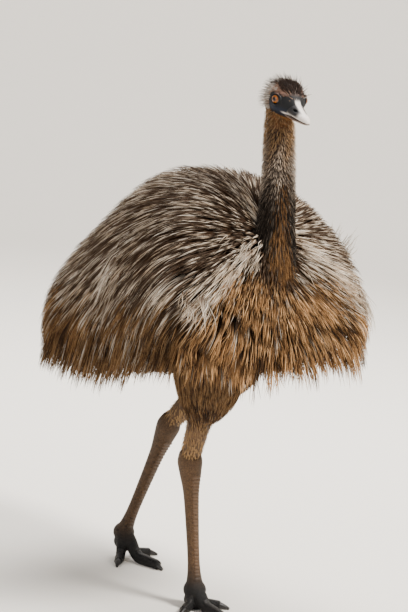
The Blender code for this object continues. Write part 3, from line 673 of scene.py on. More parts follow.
def strand_piece(name, kind, lines, normals, tints, unwrap, finish, draw):
    """One mesh of closed three-sided strands that taper to a point. Each has its own small patch of the UV
    map OFBake, at its root's place on the unwrap."""
    count, points = lines.shape[:2]
    widths, thickness = draw.uniform(*STRAND_WIDTHS[kind], count), STRAND_THICKNESS[kind]
    steps = points - 1
    along = unit(np.gradient(lines, axis=1))
    across = unit(np.cross(along, normals))
    up = np.cross(across, along)
    share = np.linspace(0, 1, points)[None, :, None]
    half = np.asarray(widths).reshape(-1, 1, 1) / 2 * np.minimum(0.55 + 1.6 * share, 1.0) * (1 - share ** 2.2)
    high = thickness * (1 - 0.5 * share)
    body = np.stack([
        lines + across * half - up * high * 0.4,
        lines - across * half - up * high * 0.4,
        lines + up * high * 0.6,
    ], axis=2)[:, :steps]
    verts = np.concatenate([body.reshape(count, steps * 3, 3), lines[:, -1:]], axis=1)
    each = steps * 3 + 1
    faces = [(0, 1, 2)]
    for i in range(steps - 1):
        for k in range(3):
            j = (k + 1) % 3
            a, b, c, d = i * 3 + k, i * 3 + j, (i + 1) * 3 + j, (i + 1) * 3 + k
            faces += [(a, d, b), (b, d, c)]
    last = (steps - 1) * 3
    faces += [(last + k, each - 1, last + (k + 1) % 3) for k in range(3)]
    faces = np.array(faces)
    corners = (faces[None] + (np.arange(count) * each)[:, None, None]).reshape(-1)
    mesh = bpy.data.meshes.new(name)
    total = len(corners) // 3
    mesh.vertices.add(count * each)
    mesh.vertices.foreach_set("co", verts.reshape(-1).astype(np.float32))
    mesh.loops.add(len(corners))
    mesh.loops.foreach_set("vertex_index", corners.astype(np.int32))
    mesh.polygons.add(total)
    mesh.polygons.foreach_set("loop_start", (np.arange(total) * 3).astype(np.int32))
    mesh.polygons.foreach_set("use_smooth", np.ones(total, bool))
    mesh.update(calc_edges=True)
    rows = np.concatenate([np.repeat(np.arange(steps), 3), [steps]])
    colours = np.ones((count, each, 4), np.float32)
    colours[..., :3] = tints[:, rows]
    tint = mesh.attributes.new("tint", "FLOAT_COLOR", "POINT")
    tint.data.foreach_set("color", colours.reshape(-1))
    patch = np.zeros((count, each, 2))
    sideways = np.concatenate([np.tile([0.0, 1.0, 0.5], steps), [0.5]])
    patch[..., 0] = sideways * PATCH_SIDE
    patch[..., 1] = rows / steps * PATCH_SIDE
    patch += (unwrap * PATCH_AREA)[:, None]
    layer = mesh.uv_layers.new(name="OFBake")
    layer.data.foreach_set("uv", patch.reshape(-1, 2)[corners].reshape(-1).astype(np.float32))
    obj = bpy.data.objects.new(name, mesh)
    bpy.context.scene.collection.objects.link(obj)
    mesh.materials.append(finish)
    return obj


def around(points, middle, low, high):
    """The unwrap of an upright form: the turn round its middle line and the height between two levels."""
    turn = np.arctan2(points[:, 0] - middle[0], points[:, 1] - middle[1]) / (2 * np.pi) + 0.5
    return np.stack([turn % 1.0, np.clip((points[:, 2] - low) / (high - low), 0, 1)], axis=1)


def along_body(points):
    """The unwrap of the torso: the turn round its long axis and the share of its length."""
    places = bird(points)
    turn = np.arctan2(places[:, 1], places[:, 2] - UNWRAP_HEIGHT) / (2 * np.pi) + 0.5
    return np.stack([turn % 1.0, np.clip((places[:, 0] + 0.5) / 1.0, 0, 1)], axis=1)


# Tints of plumes, skin and horn
DARK = linear("#130d09")
UMBER = linear("#33271e")
FAWN = linear("#6a594a")
BROWN = linear("#4c3420")
GOLD = linear("#b08354")
TAN = linear("#d9b58a")
CREAM = linear("#fbf1e2")
GREY = linear("#b09d88")
NECK_GREYS = linear("#4a3f36"), linear("#b3a290")
NECK_BROWNS = linear("#503923"), linear("#a88661")
NECK_EDGE_HIGHLIGHT = linear("#cdbda9")
ANKLE_TAN = linear("#ad8b62")
UNDER_COAT_SHADE = linear("#2a1d12")
FACE_BLACK = linear("#0b0b0d")
FACE_BLUE = linear("#152036")
CROWN_SKIN = linear("#3a2a22")
BROW_PINK = linear("#8f6b5b")
FACE_HIGHLIGHT = linear("#d9cfc7")
THROAT_SKIN = linear("#7a4c26")
SHANK_BROWN = linear("#57402a")
# Painted shade: the far left leg's skin and scutes are darkened by this share
SHADED_SHANK = 0.72
FOOT_BLACK = linear("#141211")
SCUTE_BROWN = linear("#543d28")
SCUTE_BLACK = linear("#191614")
CLAW_BLACK = linear("#1a1715")
BILL_DARK = linear("#1c191a")
BILL_HIGHLIGHT = linear("#ddd3ca")
BILL_LIP = linear("#2a2220")
BILL_UNDER = linear("#6d5546")
NOSTRIL_SHADE = linear("#080707")
PUPIL = linear("#050404")
IRIS = linear("#94500f")
EYE_RIM = linear("#0a0807")
CROWN_HAIR = linear("#241913")
THROAT_HAIR = linear("#7d5630")
TEMPLE_HAIR = linear("#9c7d6a")
NAPE_HAIR = linear("#c3b9ae")


def mixed(low, high, share):
    """Colours between two others."""
    return low + (high - low) * np.asarray(share)[..., None]


def mixed_rows(tints, other, share):
    """Rows of colours, each blended towards another by its own share."""
    share = np.asarray(share)[:, None]
    return tints * (1 - share) + other * share


def patches(places, size):
    """Soft patches of a given size, from about -1 to 1, at each place."""
    return np.array([noise.noise(Vector(p) / size) for p in places]) * 1.6


def body_marks(places):
    """How golden and how cream the coat is at each place, how much painted shadow it takes in the fold where
    breast and flank meet, and how much of the breast and of the dark bib under the neck it is. The pale
    collar runs out and down from the neck on its path; on the far left side it is drawn wider and further
    out, a painted light where the sun falls."""
    f, l, z = bird(places).T
    side = np.abs(l)
    wobble = 0.045 * patches(places, 0.07)
    front = ramp(f, 0.26, 0.38)
    fall = ramp(1.12 - z, 0.0, 0.29)
    # Painted light: on the sunlit far left side the pale collar is drawn further out and wider
    far = (l > 0) * 1.0
    path = 0.060 + 0.26 * fall + 0.02 * far
    collar = np.exp(-((side - path) / (0.030 + (0.030 + 0.050 * far) * fall)) ** 2)
    collar *= ramp(f, 0.20, 0.31) * ramp(z, 0.78, 0.88)
    breast = front * (1 - ramp(z + wobble, 0.90, 0.99)) * (1 - ramp(side, path - 0.03, path + 0.04))
    low = 1 - ramp(z + wobble - 0.06 * ramp(f, 0.0, 0.2), 0.67, 0.82)
    fold_shadow = np.exp(-((f - 0.368) / 0.018) ** 2) * ramp(side, 0.26, 0.30) * (1 - ramp(z, 0.86, 0.93))
    bib = ramp(f, 0.33, 0.38) * ramp(z, 0.90, 0.94) * (1 - ramp(np.abs(l + 0.030), 0.045, 0.085))
    return np.clip(breast + low * 0.9, 0, 1), np.clip(collar * (1 - bib), 0, 1), fold_shadow, breast, bib


def body_tints(lines, place, owner, tips, draw):
    """Tints along every strand of the coat, by the marks at its plume's tip: short cream shafts on dark
    above, golden brown below, cream by the neck. The golden brown is darker away from the breast, a painted
    shade on the flanks, and the fold is darkened, a painted shadow."""
    gold, collar, fold_shadow, breast, bib = (marks[owner] for marks in body_marks(tips))
    patch = patches(tips, 0.040)[owner]
    count, points = lines.shape[:2]
    groups = len(tips)
    share = np.linspace(0, 1, points)[None]
    kind, tone = (draw.random(groups)[owner] for _ in range(2))
    own = draw.random((6, count))
    tone = 0.65 * tone + 0.35 * own[1]
    dark = mixed(DARK, BROWN, own[0] * 0.8)
    shade = mixed(UMBER, FAWN, own[0])
    dark = shade * (1 - gold[:, None]) + dark * gold[:, None]
    warm = mixed(mixed(BROWN, GOLD, 0.2 + 0.8 * tone), TAN, tone ** 3 * 0.75)
    # The golden brown is lighter at the breast and darker on the flanks, a painted shade, with soft lighter
    # and darker patches and darker in the bib
    level = (0.50 + 0.65 * np.clip(breast + 0.25 * own[3], 0, 1)) * (1 + 0.40 * patch) * (1 - 0.5 * bib)
    warm *= level[:, None]
    pale = mixed(GREY, CREAM, np.clip(tone * 0.80 + collar * 0.25, 0, 1))
    pale = mixed(pale, TAN, own[2] * (0.35 + 0.35 * collar))
    pale *= (1 - 0.45 * gold * (1 - collar))[:, None]
    # A pale shaft runs down the middle of most plumes above, and nearly all of the collar is pale
    in_middle = np.abs(place + 0.20 * (own[3] - 0.5)) < 0.36
    is_pale = in_middle & (kind < 0.84 * (1 - 0.85 * gold) * (1 - bib))
    is_pale |= own[4] < collar * (0.92 + 0.3 * patch)
    is_warm = own[5] < gold * (0.78 + 0.35 * patch) * (1 - 0.5 * bib)
    base = np.where(is_warm[:, None], warm, dark)
    # Painted shadow: the plumes are darker along the fold
    base = np.where(is_pale[:, None], pale, base) * (1 - 0.8 * fold_shadow)[:, None]
    # Each strand shows its tint in a window along its length, and is dark at its root and its tip
    centre = (0.58 + 0.30 * draw.random(groups))[owner][:, None]
    window = np.exp(-(np.abs(share - centre) / (0.20 + 0.14 * np.maximum(collar, gold))[:, None]) ** 3)
    window = np.maximum(window, np.maximum(collar * 0.7, gold * 0.25)[:, None])
    under = mixed_rows(np.tile(DARK, (count, 1)), BROWN, 0.55 + 0.2 * gold)
    tints = under[:, None] * (1 - window[..., None]) + base[:, None] * window[..., None]
    tip = ramp(share, 0.80, 1.0)[..., None] * (0.50 * (1 - collar))[:, None, None]
    return np.clip(tints * (1 - tip) + DARK * tip, 0, 1)


# Skin


def leg_skin(side):
    """The bare shank and the foot with its toes as one form."""
    rounded_top = [(1.02, 0.0315, 0.0325), (1.06, 0.025, 0.026), (1.08, 0.013, 0.013)]
    rows = np.concatenate([SHANK_SIZES[:-1], rounded_top])
    points, sizes = limb_rows(rows, TOE_JOINT[side], ANKLE[side], 48)
    pieces = [tube("shank", points, sizes, 28)]
    joint = at(*TOE_JOINT[side])
    sole = joint - Vector((0, 0.006, 0.028))
    for place, size in ((joint, KNUCKLE), (sole, (0.029, 0.036, 0.027))):
        pieces.append(ball(28, 18, location=place, scale=size))
    for toe in TOES:
        thickness = toe[2]
        line, way = toe_line(side, toe)
        across = Vector((0, 0, 1)).cross(way)
        sizes = []
        for i in range(len(line)):
            share = i / (len(line) - 1)
            pad = 1.0 + 0.07 * math.sin(share * 4.2 * math.pi)
            sizes.append((thickness * (1.08 - 0.36 * share) * pad, thickness * (1.0 - 0.26 * share) * pad))
        pieces.append(tube("toe", line, sizes, 20, across))
    leg = join_pieces("leg_" + side, pieces)
    use_modifier(leg, "REMESH", mode="VOXEL", voxel_size=LEG_CELL)
    use_modifier(leg, "SMOOTH", factor=0.5, iterations=3)
    for v in leg.data.vertices:
        v.co.z = max(v.co.z, 0.0)
    return leg


def thigh_skin(side):
    """The drumstick under its feathers, drawn in less and less towards the ankle, where they are short."""
    sizes = np.concatenate([[(-0.03, 0.026, 0.027), (0.03, 0.028, 0.029)], THIGH_SIZES[1:]])
    points, found = limb_rows(sizes, ANKLE[side], KNEE[side], 30, 0.012)
    low = ANKLE[side][2]
    drawn_in = [0.003 + (THIGH_DOWN - 0.003) * float(ramp(p.z - low, 0.08, 0.20)) for p in points]
    found = [(width - d, depth - d) for (width, depth), d in zip(found, drawn_in)]
    return tube("thigh", points, found, 28)


def head_skin():
    """The skull under its thin skin, with a round lid about each eye and the cup of each ear."""
    head = head_form("head_skin", SKULL_STATIONS, 48, 36, 0.92, 0.001)
    turn = head_frame().to_3x3()
    ahead, left, up = EYE_PLACE
    pieces = [head]
    for sign in (1, -1):
        look = turn @ Vector((sign, -EYE_LOOK, 0.0)).normalized()
        bpy.ops.mesh.primitive_torus_add(
            major_segments=40, minor_segments=12, major_radius=EYE_RADIUS * 0.84, minor_radius=0.0028,
            location=head_point(ahead, sign * left, up) + look * EYE_RADIUS * 0.56,
            rotation=look.to_track_quat("Z", "Y").to_euler(),
        )
        bpy.ops.object.transform_apply()
        pieces.append(bpy.context.object)
    head = join_pieces("head_skin", pieces)
    use_modifier(head, "REMESH", mode="VOXEL", voxel_size=HEAD_CELL)
    use_modifier(head, "SMOOTH", factor=0.5, iterations=3)
    for sign in (1, -1):
        socket = ball(32, 20, radius=EYE_RADIUS + 0.0004, location=head_point(ahead, sign * left, up))
        use_on(head, "DIFFERENCE", socket)
        place = head_point(EAR_PLACE[0], sign * EAR_PLACE[1], EAR_PLACE[2])
        use_on(head, "DIFFERENCE", ball(20, 12, radius=0.0055, location=place, scale=(0.6, 1.3, 1.0)))
    return head


def in_head(points):
    """How far points of the model lie ahead, up and to either side, in the head's own axes."""
    inverse = head_frame().inverted()
    own = points @ np.array(inverse.to_3x3()).T + np.array(inverse.translation)
    return -own[:, 1], own[:, 2], np.abs(own[:, 0])


def skin_tints(points):
    """The skin's markings: blue-black face, tan throat, brown legs and black feet. Under the coat the skin is
    near black, a painted shade for the gaps between strands; the far left leg is darker, a painted shade; and
    a pale painted highlight lies over the bridge between the eyes and along the mouth's corner.
    """
    _, l, z = bird(points).T
    ahead, up, across = in_head(points)
    # Painted shade: under the coat the skin is near black, so that the gaps between strands look dark
    tints = np.tile(UNDER_COAT_SHADE, (len(points), 1))
    face = ramp(z, 1.34, 1.37)
    tints = mixed_rows(tints, FACE_BLACK, face)
    blue = face * np.exp(-((up + 0.022) / 0.010) ** 2)
    blue = blue * ramp(ahead, -0.030, -0.01) * ramp(across, 0.012, 0.022)
    tints = mixed_rows(tints, FACE_BLUE, blue * 0.5)
    crown = face * ramp(up, 0.018, 0.026) * (1 - ramp(ahead, 0.030, 0.042))
    tints = mixed_rows(tints, CROWN_SKIN, crown * 0.8)
    brow = face * ramp(up, 0.016, 0.024) * ramp(across, 0.020, 0.027) * ramp(ahead, -0.03, -0.01)
    tints = mixed_rows(tints, BROW_PINK, brow * 0.8)
    # Painted highlight: pale over the bridge between the eyes and along the mouth's corner
    bridge = face * ramp(ahead, 0.038, 0.048) * ramp(across, 0.0100, 0.0060) * ramp(up, -0.012, -0.004)
    tints = mixed_rows(tints, FACE_HIGHLIGHT, bridge * 0.9)
    gape = face * np.exp(-((up - MOUTH_HEIGHT - 0.002) / 0.0022) ** 2) * ramp(ahead, 0.020, 0.034)
    tints = mixed_rows(tints, FACE_HIGHLIGHT, gape * 0.85)
    throat = face * (1 - ramp(up, -0.046, -0.036)) * ramp(ahead, -0.03, 0.0)
    tints = mixed_rows(tints, THROAT_SKIN, throat * 0.8)
    legs = 1 - ramp(z, 0.50, 0.56)
    # Painted shade: the far left leg is darker
    shank = SHANK_BROWN * np.where(l > 0, SHADED_SHANK, 1.0)[:, None]
    tints = tints * (1 - legs[:, None]) + shank * legs[:, None]
    feet = 1 - ramp(z, 0.05, 0.14)
    return mixed_rows(tints, FOOT_BLACK, feet)


def set_share(obj, name, values):
    """Gives every point of a piece one named share."""
    layer = obj.data.attributes.new(name, "FLOAT", "POINT")
    layer.data.foreach_set("value", np.asarray(values, np.float32))


def set_tints(obj, tints):
    """Gives every point of a piece its tint."""
    colours = np.ones((len(tints), 4), np.float32)
    colours[:, :3] = np.clip(tints, 0, 1)
    layer = obj.data.attributes.new("tint", "FLOAT_COLOR", "POINT")
    layer.data.foreach_set("color", colours.reshape(-1))


def places_of(obj):
    """All the points of a piece as rows."""
    points = np.zeros(len(obj.data.vertices) * 3, np.float32)
    obj.data.vertices.foreach_get("co", points)
    return points.reshape(-1, 3).astype(float)


def make_skin(finish):
    """One closed skin from bill to toes, inside the solids by the depth of the coat."""
    skin = torso_form("skin", COAT_DEPTH, SKIRT_DROP)
    others = [neck_form("neck", NECK_DOWN * 0.8)]
    for side in ("left", "right"):
        others.append(thigh_skin(side))
        others.append(leg_skin(side))
    others.append(head_skin())
    for other in others:
        use_on(skin, "UNION", other)
    places = places_of(skin)
    set_tints(skin, skin_tints(places))
    set_share(skin, "scaly", 1 - ramp(places[:, 2], 0.44, 0.49))
    return finished(skin, finish)


def make_eye(side, finish):
    """One eyeball with a rounder front, its pole on the line of sight and its tint in rings round it."""
    ahead, left, up = EYE_PLACE
    sign = 1 if side == "left" else -1
    centre = head_point(ahead, sign * left, up)
    look = head_frame().to_3x3() @ Vector((sign, -EYE_LOOK, 0.0)).normalized()
    bpy.ops.object.select_all(action="DESELECT")
    bpy.ops.mesh.primitive_uv_sphere_add(segments=48, ring_count=48, radius=EYE_RADIUS)
    eye = bpy.context.object
    eye.name = eye.data.name = "eyeball_" + side
    turn = look.to_track_quat("Z", "Y").to_matrix()
    tints = []
    for v in eye.data.vertices:
        angle = math.degrees(math.acos(max(-1.0, min(1.0, v.co.z / EYE_RADIUS))))
        v.co = v.co * (1 + 0.05 * max(0.0, 1 - angle / 40))
        if angle < 17:
            tints.append(PUPIL)
        elif angle < 40:
            tints.append(IRIS * (0.30 + 0.40 * math.sin((angle - 17) / 23 * math.pi)))
        else:
            tints.append(EYE_RIM)
        v.co = centre + turn @ v.co
    set_tints(eye, np.array(tints))
    return finished(eye, finish)


def make_bill(half, finish):
    """One half of the broad flat bill: dark horn with a pale painted highlight, and painted shade in the
    nostrils of the upper half.
    """
    if half == "upper":
        bill = head_form("bill_top", BILL_STATIONS, 40, 30, floor=MOUTH_HEIGHT)
        for sign in (1, -1):
            ahead, left, up = NOSTRIL_PLACE
            use_on(bill, "DIFFERENCE", ball(
                24, 14, location=head_point(ahead, sign * left, up), scale=(0.0052, 0.0095, 0.0042),
                rotation=head_frame().to_euler(),
            ))
    else:
        bill = head_form("bill_under", BILL_STATIONS, 40, 30, roof=MOUTH_HEIGHT - MOUTH_GAP)
    ahead, up, across = in_head(places_of(bill))
    tints = np.tile(BILL_DARK, (len(up), 1))
    # Painted highlight: pale along the ridge, over the front of the bill and along the mouth's edge, on dark
    # horn
    ridge = ramp(across, 0.0090, 0.0050) * ramp(up, MOUTH_HEIGHT + 0.007, MOUTH_HEIGHT + 0.012)
    pale = np.maximum(ridge, ramp(ahead, 0.076, 0.090))
    pale = np.maximum(pale, np.exp(-((up - MOUTH_HEIGHT - 0.0030) / 0.0028) ** 2))
    tints = mixed_rows(tints, BILL_HIGHLIGHT, pale * 0.92)
    lip = np.exp(-((up - MOUTH_HEIGHT) / 0.0010) ** 2)
    tints = mixed_rows(tints, BILL_LIP, lip)
    if half == "lower":
        tints = mixed_rows(tints, BILL_UNDER, np.full(len(up), 0.7))
    # Painted shade: the nostril's pit is darkened to near black
    pit = np.exp(-((ahead - NOSTRIL_PLACE[0]) / 0.010) ** 2 - ((up - NOSTRIL_PLACE[2]) / 0.0048) ** 2)
    pit *= ramp(across, 0.005, 0.009)
    tints = mixed_rows(tints, NOSTRIL_SHADE, pit)
    set_tints(bill, tints)
    return finished(bill, finish)


def make_claw(side, toe, finish):
    """One blunt, slightly hooked claw."""
    name, thickness = toe[0], toe[2]
    line, way = toe_line(side, toe, 6)
    across = Vector((0, 0, 1)).cross(way)
    root, end = line[-2], line[-1]
    points, sizes = [], []
    for i in range(14):
        share = i / 13
        place = root.lerp(end, 0.2) + way * (CLAW_LENGTH * 1.05 * share)
        place.z = thickness * 0.80 * (1 - share ** 1.5) + 0.0034 * share ** 1.5
        points.append(place)
        sizes.append((thickness * (0.68 - 0.46 * share ** 1.4), thickness * (0.66 - 0.46 * share ** 1.4)))
    claw = tube("claw_" + name + "_of_" + side, points, sizes, 20, across)
    set_tints(claw, np.tile(CLAW_BLACK, (len(claw.data.vertices), 1)))
    return finished(claw, finish)


def coat_piece(name, surface, group, lengths, widths, strands, depth, draw, finish, floors=None, steps=5):
    """One piece of the torso's coat: plumes that flow from their roots, each split into loose strands."""
    lines, normals = flowing_lines(surface, group, lengths, depth, COAT_RISE, 8, lie, -0.2, floors)
    tips = lines[:, 7]
    wander = COAT_WANDER * (1 + 0.8 * body_marks(tips)[0])
    lines, ups, place, owner = split_lines(lines, normals, strands, widths, wander, 0.007, steps, draw)
    tints = body_tints(lines, place, owner, tips, draw)
    return strand_piece(name, "body", lines, ups, tints, along_body(lines[:, 0]), finish, draw)


def make_body_coat(finish):
    """The long coat of the torso, in pieces from one flank over the back to the other, with a free fringe."""
    outline = torso_form("outline", 0.004, 0.0)
    surface = surface_of(outline)

    def from_neck(p):
        f, l, _ = bird(p)
        return math.hypot(f - NECK_FOOT, l)

    def clear(p):
        return p[2] > fringe_height(p) + 0.075 and not (from_neck(p) < 0.04 and p[2] > 0.95)

    root_seed, strand_seed = SEEDS["body"]
    starts = scatter(outline, ROOT_SPACING["body"], clear, root_seed)
    starts.sort(key=lambda p: math.atan2(p.x - ORIGIN_MOVE.x, p.z - UNWRAP_HEIGHT))
    draw = np.random.default_rng(strand_seed)
    pieces = []
    share = math.ceil(len(starts) / BODY_PIECES)
    source = at(*COAT_SOURCE)
    for i in range(BODY_PIECES):
        group = starts[i * share:(i + 1) * share]
        roots = np.array([p[:] for p in group])
        f, l, _ = bird(roots).T
        near = np.array([min((p - source).length / 0.30, 1.0) for p in group])
        lengths = BODY_LENGTH * (0.35 + 0.65 * near) * draw.uniform(0.75, 1.2, len(group))
        lengths *= 1 - 0.30 * ramp(f, 0.34, 0.42) * (1 - ramp(roots[:, 2], 0.92, 1.00))
        floors = fringe_height(roots) + draw.uniform(-0.012, 0.035, len(group)) + 0.018 * patches(roots, 0.05)
        floors += 0.035 * ramp(np.abs(l), 0.24, 0.34) * ramp(f, 0.10, 0.30)
        floors -= 0.022 * ramp(f, 0.36, 0.44)
        widths = PLUME_WIDTH["body"] * (0.5 + 0.5 * near)
        pieces.append(coat_piece(
            f"coat_{i + 1}", surface, group, lengths, widths, STRANDS["body"], COAT_DEPTH * 0.8, draw, finish,
            floors,
        ))

    def by_neck(p):
        return 0.035 < from_neck(p) and (Vector(p) - source).length < COLLAR_REACH

    group = scatter(outline, ROOT_SPACING["collar"], by_neck, SEEDS["collar"])
    near = np.array([min((p - source).length / COLLAR_REACH, 1.0) for p in group])
    lengths = (0.045 + 0.075 * near) * draw.uniform(0.8, 1.2, len(group))
    pieces.append(coat_piece(
        "collar", surface, group, lengths, 0.006 + 0.004 * near, STRANDS["collar"], COAT_DEPTH * 0.45, draw,
        finish, None, 4,
    ))
    remove(outline)

    belly = torso_form("belly", COAT_DEPTH * 0.7, SKIRT_DROP * 0.8)
    surface = surface_of(belly)
    group = scatter(belly, ROOT_SPACING["belly"], lambda p: p[2] < fringe_height(p) + 0.11, SEEDS["belly"])
    remove(belly)
    lengths = 0.085 * draw.uniform(0.8, 1.2, len(group))
    lines, normals = flowing_lines(surface, group, lengths, 0.012, 0.014, 5, back_lie, -2.0)
    plumes = np.full(len(group), PLUME_WIDTH["belly"])
    lines, ups, place, owner = split_lines(
        lines, normals, STRANDS["belly"], plumes, COAT_WANDER, 0.006, 4, draw
    )
    # Painted shade: the feathers under the belly are darker
    tints = body_tints(lines, place, owner, np.array([p[:] for p in group]), draw) * 0.6
    pieces.append(strand_piece(
        "belly_feathers", "body", lines, ups, tints, along_body(lines[:, 0]), finish, draw
    ))
    return pieces


def neck_tints(places, draw):
    """The neck's markings: warm brown under the head, grey-brown below it, then near black with a brown
    streak down the front that turns golden over the breast. Pale strands on its left back edge are a painted
    highlight."""
    f, l, z = bird(places).T
    axis = np.interp(z, NECK_LINE[1:4, 2], NECK_LINE[1:4, 0])
    turn = np.arctan2(-l, f - axis)
    front = np.abs(turn - 0.35)
    rough = draw.random(len(places))
    wobble = 0.02 * np.sin(turn * 5 + z * 30) + 0.03 * (rough - 0.5)
    grey = mixed(*NECK_GREYS, rough ** 1.1)
    warm = mixed(*NECK_BROWNS, rough)
    tints = mixed_rows(grey, warm, ramp(z + wobble, 1.24, 1.34))
    # Painted highlight: pale strands along the left back edge of the neck
    edge = ramp(turn, -0.6, -1.1) * ramp(z, 1.16, 1.22)
    tints = mixed_rows(tints, NECK_EDGE_HIGHLIGHT, edge * 0.7 * rough)
    lower = 1 - ramp(z + wobble, 1.155, 1.245)
    tints = mixed_rows(tints, DARK, lower * (0.97 - 0.35 * rough ** 5))
    streak = mixed(BROWN, GOLD, rough * (0.72 - 0.40 * ramp(z, 1.00, 1.12))) * 0.9
    wide = 0.30 + 0.75 * (1 - ramp(z, 0.93, 1.08))
    is_gold = draw.random(len(places)) < 0.72 * lower * (1 - ramp(front, wide - 0.30, wide + 0.35))
    return np.where(is_gold[:, None], streak, tints)


def make_neck_coat(finish):
    """Short bristly feathers down the neck, longer towards its foot."""
    outline = neck_form("outline", 0.003)
    surface = surface_of(outline)
    root_seed, strand_seed = SEEDS["neck"]
    starts = scatter(outline, ROOT_SPACING["neck"], lambda p: 0.90 < p[2] < 1.405, root_seed)
    remove(outline)
    draw = np.random.default_rng(strand_seed)
    heights = np.array([p.z for p in starts])
    lengths = 0.010 + 0.009 * draw.random(len(starts))
    lengths += 0.050 * (1 - ramp(heights, 0.98, 1.24)) * draw.uniform(0.7, 1.2, len(starts))
    lines, normals = flowing_lines(surface, starts, lengths, NECK_DOWN * 0.5, 0.0030, 4, down_lie)
    middles = lines[:, 2]
    plumes = np.full(len(starts), PLUME_WIDTH["neck"])
    strands, ups, _, owner = split_lines(lines, normals, STRANDS["neck"], plumes, 0.003, 0.0025, 3, draw)
    tints = neck_tints(middles[owner] + draw.normal(0, 0.002, (len(owner), 3)), draw)
    tints = np.repeat(tints[:, None], strands.shape[1], axis=1)
    unwrap = around(strands[:, 0], at(0.34, 0, 0), 0.85, 1.42)
    return strand_piece("neck_feathers", "neck", strands, ups, tints, unwrap, finish, draw)


def make_thigh_coat(side, finish):
    """The feathers of one drumstick, and the short ones that end over the ankle."""
    sizes = THIGH_SIZES.copy()
    sizes[0] = (-0.02, 0.0305, 0.0315)
    points, sizes = limb_rows(sizes, ANKLE[side], KNEE[side], 24, 0.012, 0.002)
    outline = tube("outline", points, sizes, 28)
    surface = surface_of(outline)
    ankle = ANKLE[side][2]
    root_seed, strand_seed = SEEDS["thigh"]
    starts = scatter(outline, ROOT_SPACING["thigh"], lambda p: p[2] > ankle + 0.004, root_seed)
    remove(outline)
    draw = np.random.default_rng(strand_seed)
    heights = np.array([p.z for p in starts])
    above = ramp(heights, ankle, ankle + 0.06)
    lengths = 0.012 + 0.014 * above
    lengths += 0.045 * ramp(heights, ankle + 0.15, ankle + 0.26) * draw.uniform(0.7, 1.2, len(starts))
    lines, normals = flowing_lines(surface, starts, lengths, THIGH_DOWN * 0.45, 0.002, 5, down_lie, -0.9)
    plumes = 0.004 + 0.004 * ramp(heights, ankle + 0.1, ankle + 0.2)
    strands, ups, _, owner = split_lines(lines, normals, STRANDS["thigh"], plumes, 0.003, 0.0025, 3, draw)
    count = len(owner)
    low = (1 - ramp(heights, ankle + 0.06, ankle + 0.14))[owner]
    warm = mixed(mixed(BROWN, GOLD, draw.random(count)), TAN, draw.random(count) * 0.35) * 0.52
    warm = mixed_rows(warm, ANKLE_TAN, low * 0.7)
    dark = mixed(DARK, BROWN, draw.random(count))
    edge = np.exp(-((heights - ankle - 0.155) / 0.035) ** 2)[owner]
    base = np.where((draw.random(count) < 0.72 + 0.25 * low - 0.45 * edge)[:, None], warm, dark)
    share = np.linspace(0, 1, strands.shape[1])[None]
    tip = ramp(share, 0.7, 1.0)[..., None] * 0.3
    tints = base[:, None] * (1 - tip) + DARK * tip
    unwrap = around(strands[:, 0], at(*ANKLE[side]), 0.4, 0.8)
    return strand_piece("thigh_feathers_" + side, "thigh", strands, ups, tints, unwrap, finish, draw)


def make_head_coat(finish):
    """Fine hair-like feathers over crown, nape and cheeks: a dark ragged crown with whitish wisps behind."""
    outline = head_form("outline", SKULL_STATIONS, 40, 30, 0.92)
    surface = surface_of(outline)
    inverse = head_frame().inverted()

    def from_eyes(p):
        own = inverse @ Vector(p)
        return -own.y, own.z, abs(own.x)

    def feathered(p):
        ahead, up, across = from_eyes(p)
        if math.hypot(ahead - EYE_PLACE[0], up - EYE_PLACE[2]) < 0.0205 and across > 0.020:
            return False
        top = up > 0.015 and ahead < 0.047
        bridge = across < 0.020 and up > 0.002 and ahead < 0.052
        return top or bridge or ahead < -0.019 or (up < -0.036 and ahead < 0.034)

    root_seed, strand_seed = SEEDS["head"]
    starts = scatter(outline, ROOT_SPACING["head"], feathered, root_seed)
    remove(outline)
    draw = np.random.default_rng(strand_seed)
    back = head_frame().to_3x3() @ Vector((0, 1, -0.45))
    lines, normals, tints = [], [], []
    for start in starts:
        ahead, up, across = from_eyes(start)
        place, normal, _, _ = surface.find_nearest(start)
        behind = float(ramp(-ahead, 0.010, 0.030))
        crown = float(ramp(up, 0.017, 0.027) * (1 - behind * 0.45) * (1 - ramp(across, 0.027, 0.036)))
        face = float(ramp(ahead, 0.026, 0.044))
        stand = draw.uniform(0.3, 0.9) + 0.8 * max(behind, crown) * draw.random()
        length = (0.006 + 0.007 * draw.random() + 0.006 * crown) * (1 - 0.55 * face)
        if draw.random() < (0.05 + 0.10 * behind) * (1 - face) and up > -0.030:
            length += draw.uniform(0.008, 0.020)
            stand += 0.6
        way = (back + normal * stand + Vector(draw.normal(0, 0.20, 3))).normalized()
        lines.append([
            place - normal * 0.0015 + way * (length * s) + back * (length * 0.2 * s * s)
            for s in (0, 0.33, 0.67, 1)
        ])
        normals.append([normal] * 4)
        low = ramp(-up, 0.028, 0.038) * ramp(ahead, -0.030, -0.015)
        nape = 0.75 * behind * (1 - ramp(across, 0.020, 0.032))
        if draw.random() < max(crown * (1 - 0.75 * face), nape):
            shade = CROWN_HAIR * draw.uniform(0.5, 1.9)
        elif draw.random() < low:
            shade = THROAT_HAIR * draw.uniform(0.6, 1.4)
        elif behind < 0.5 and draw.random() < 0.8:
            shade = TEMPLE_HAIR * draw.uniform(0.4, 1.1)
        else:
            shade = NAPE_HAIR * draw.uniform(0.20, 1.15)
        tints.append([shade] * 4)
    lines, normals, tints = np.array(lines), np.array(normals), np.array(tints)
    unwrap = around(lines[:, 0], head_point(-0.010, 0, -0.010), 1.36, 1.50)
    return strand_piece("head_feathers", "head", lines, normals, tints, unwrap, finish, draw)


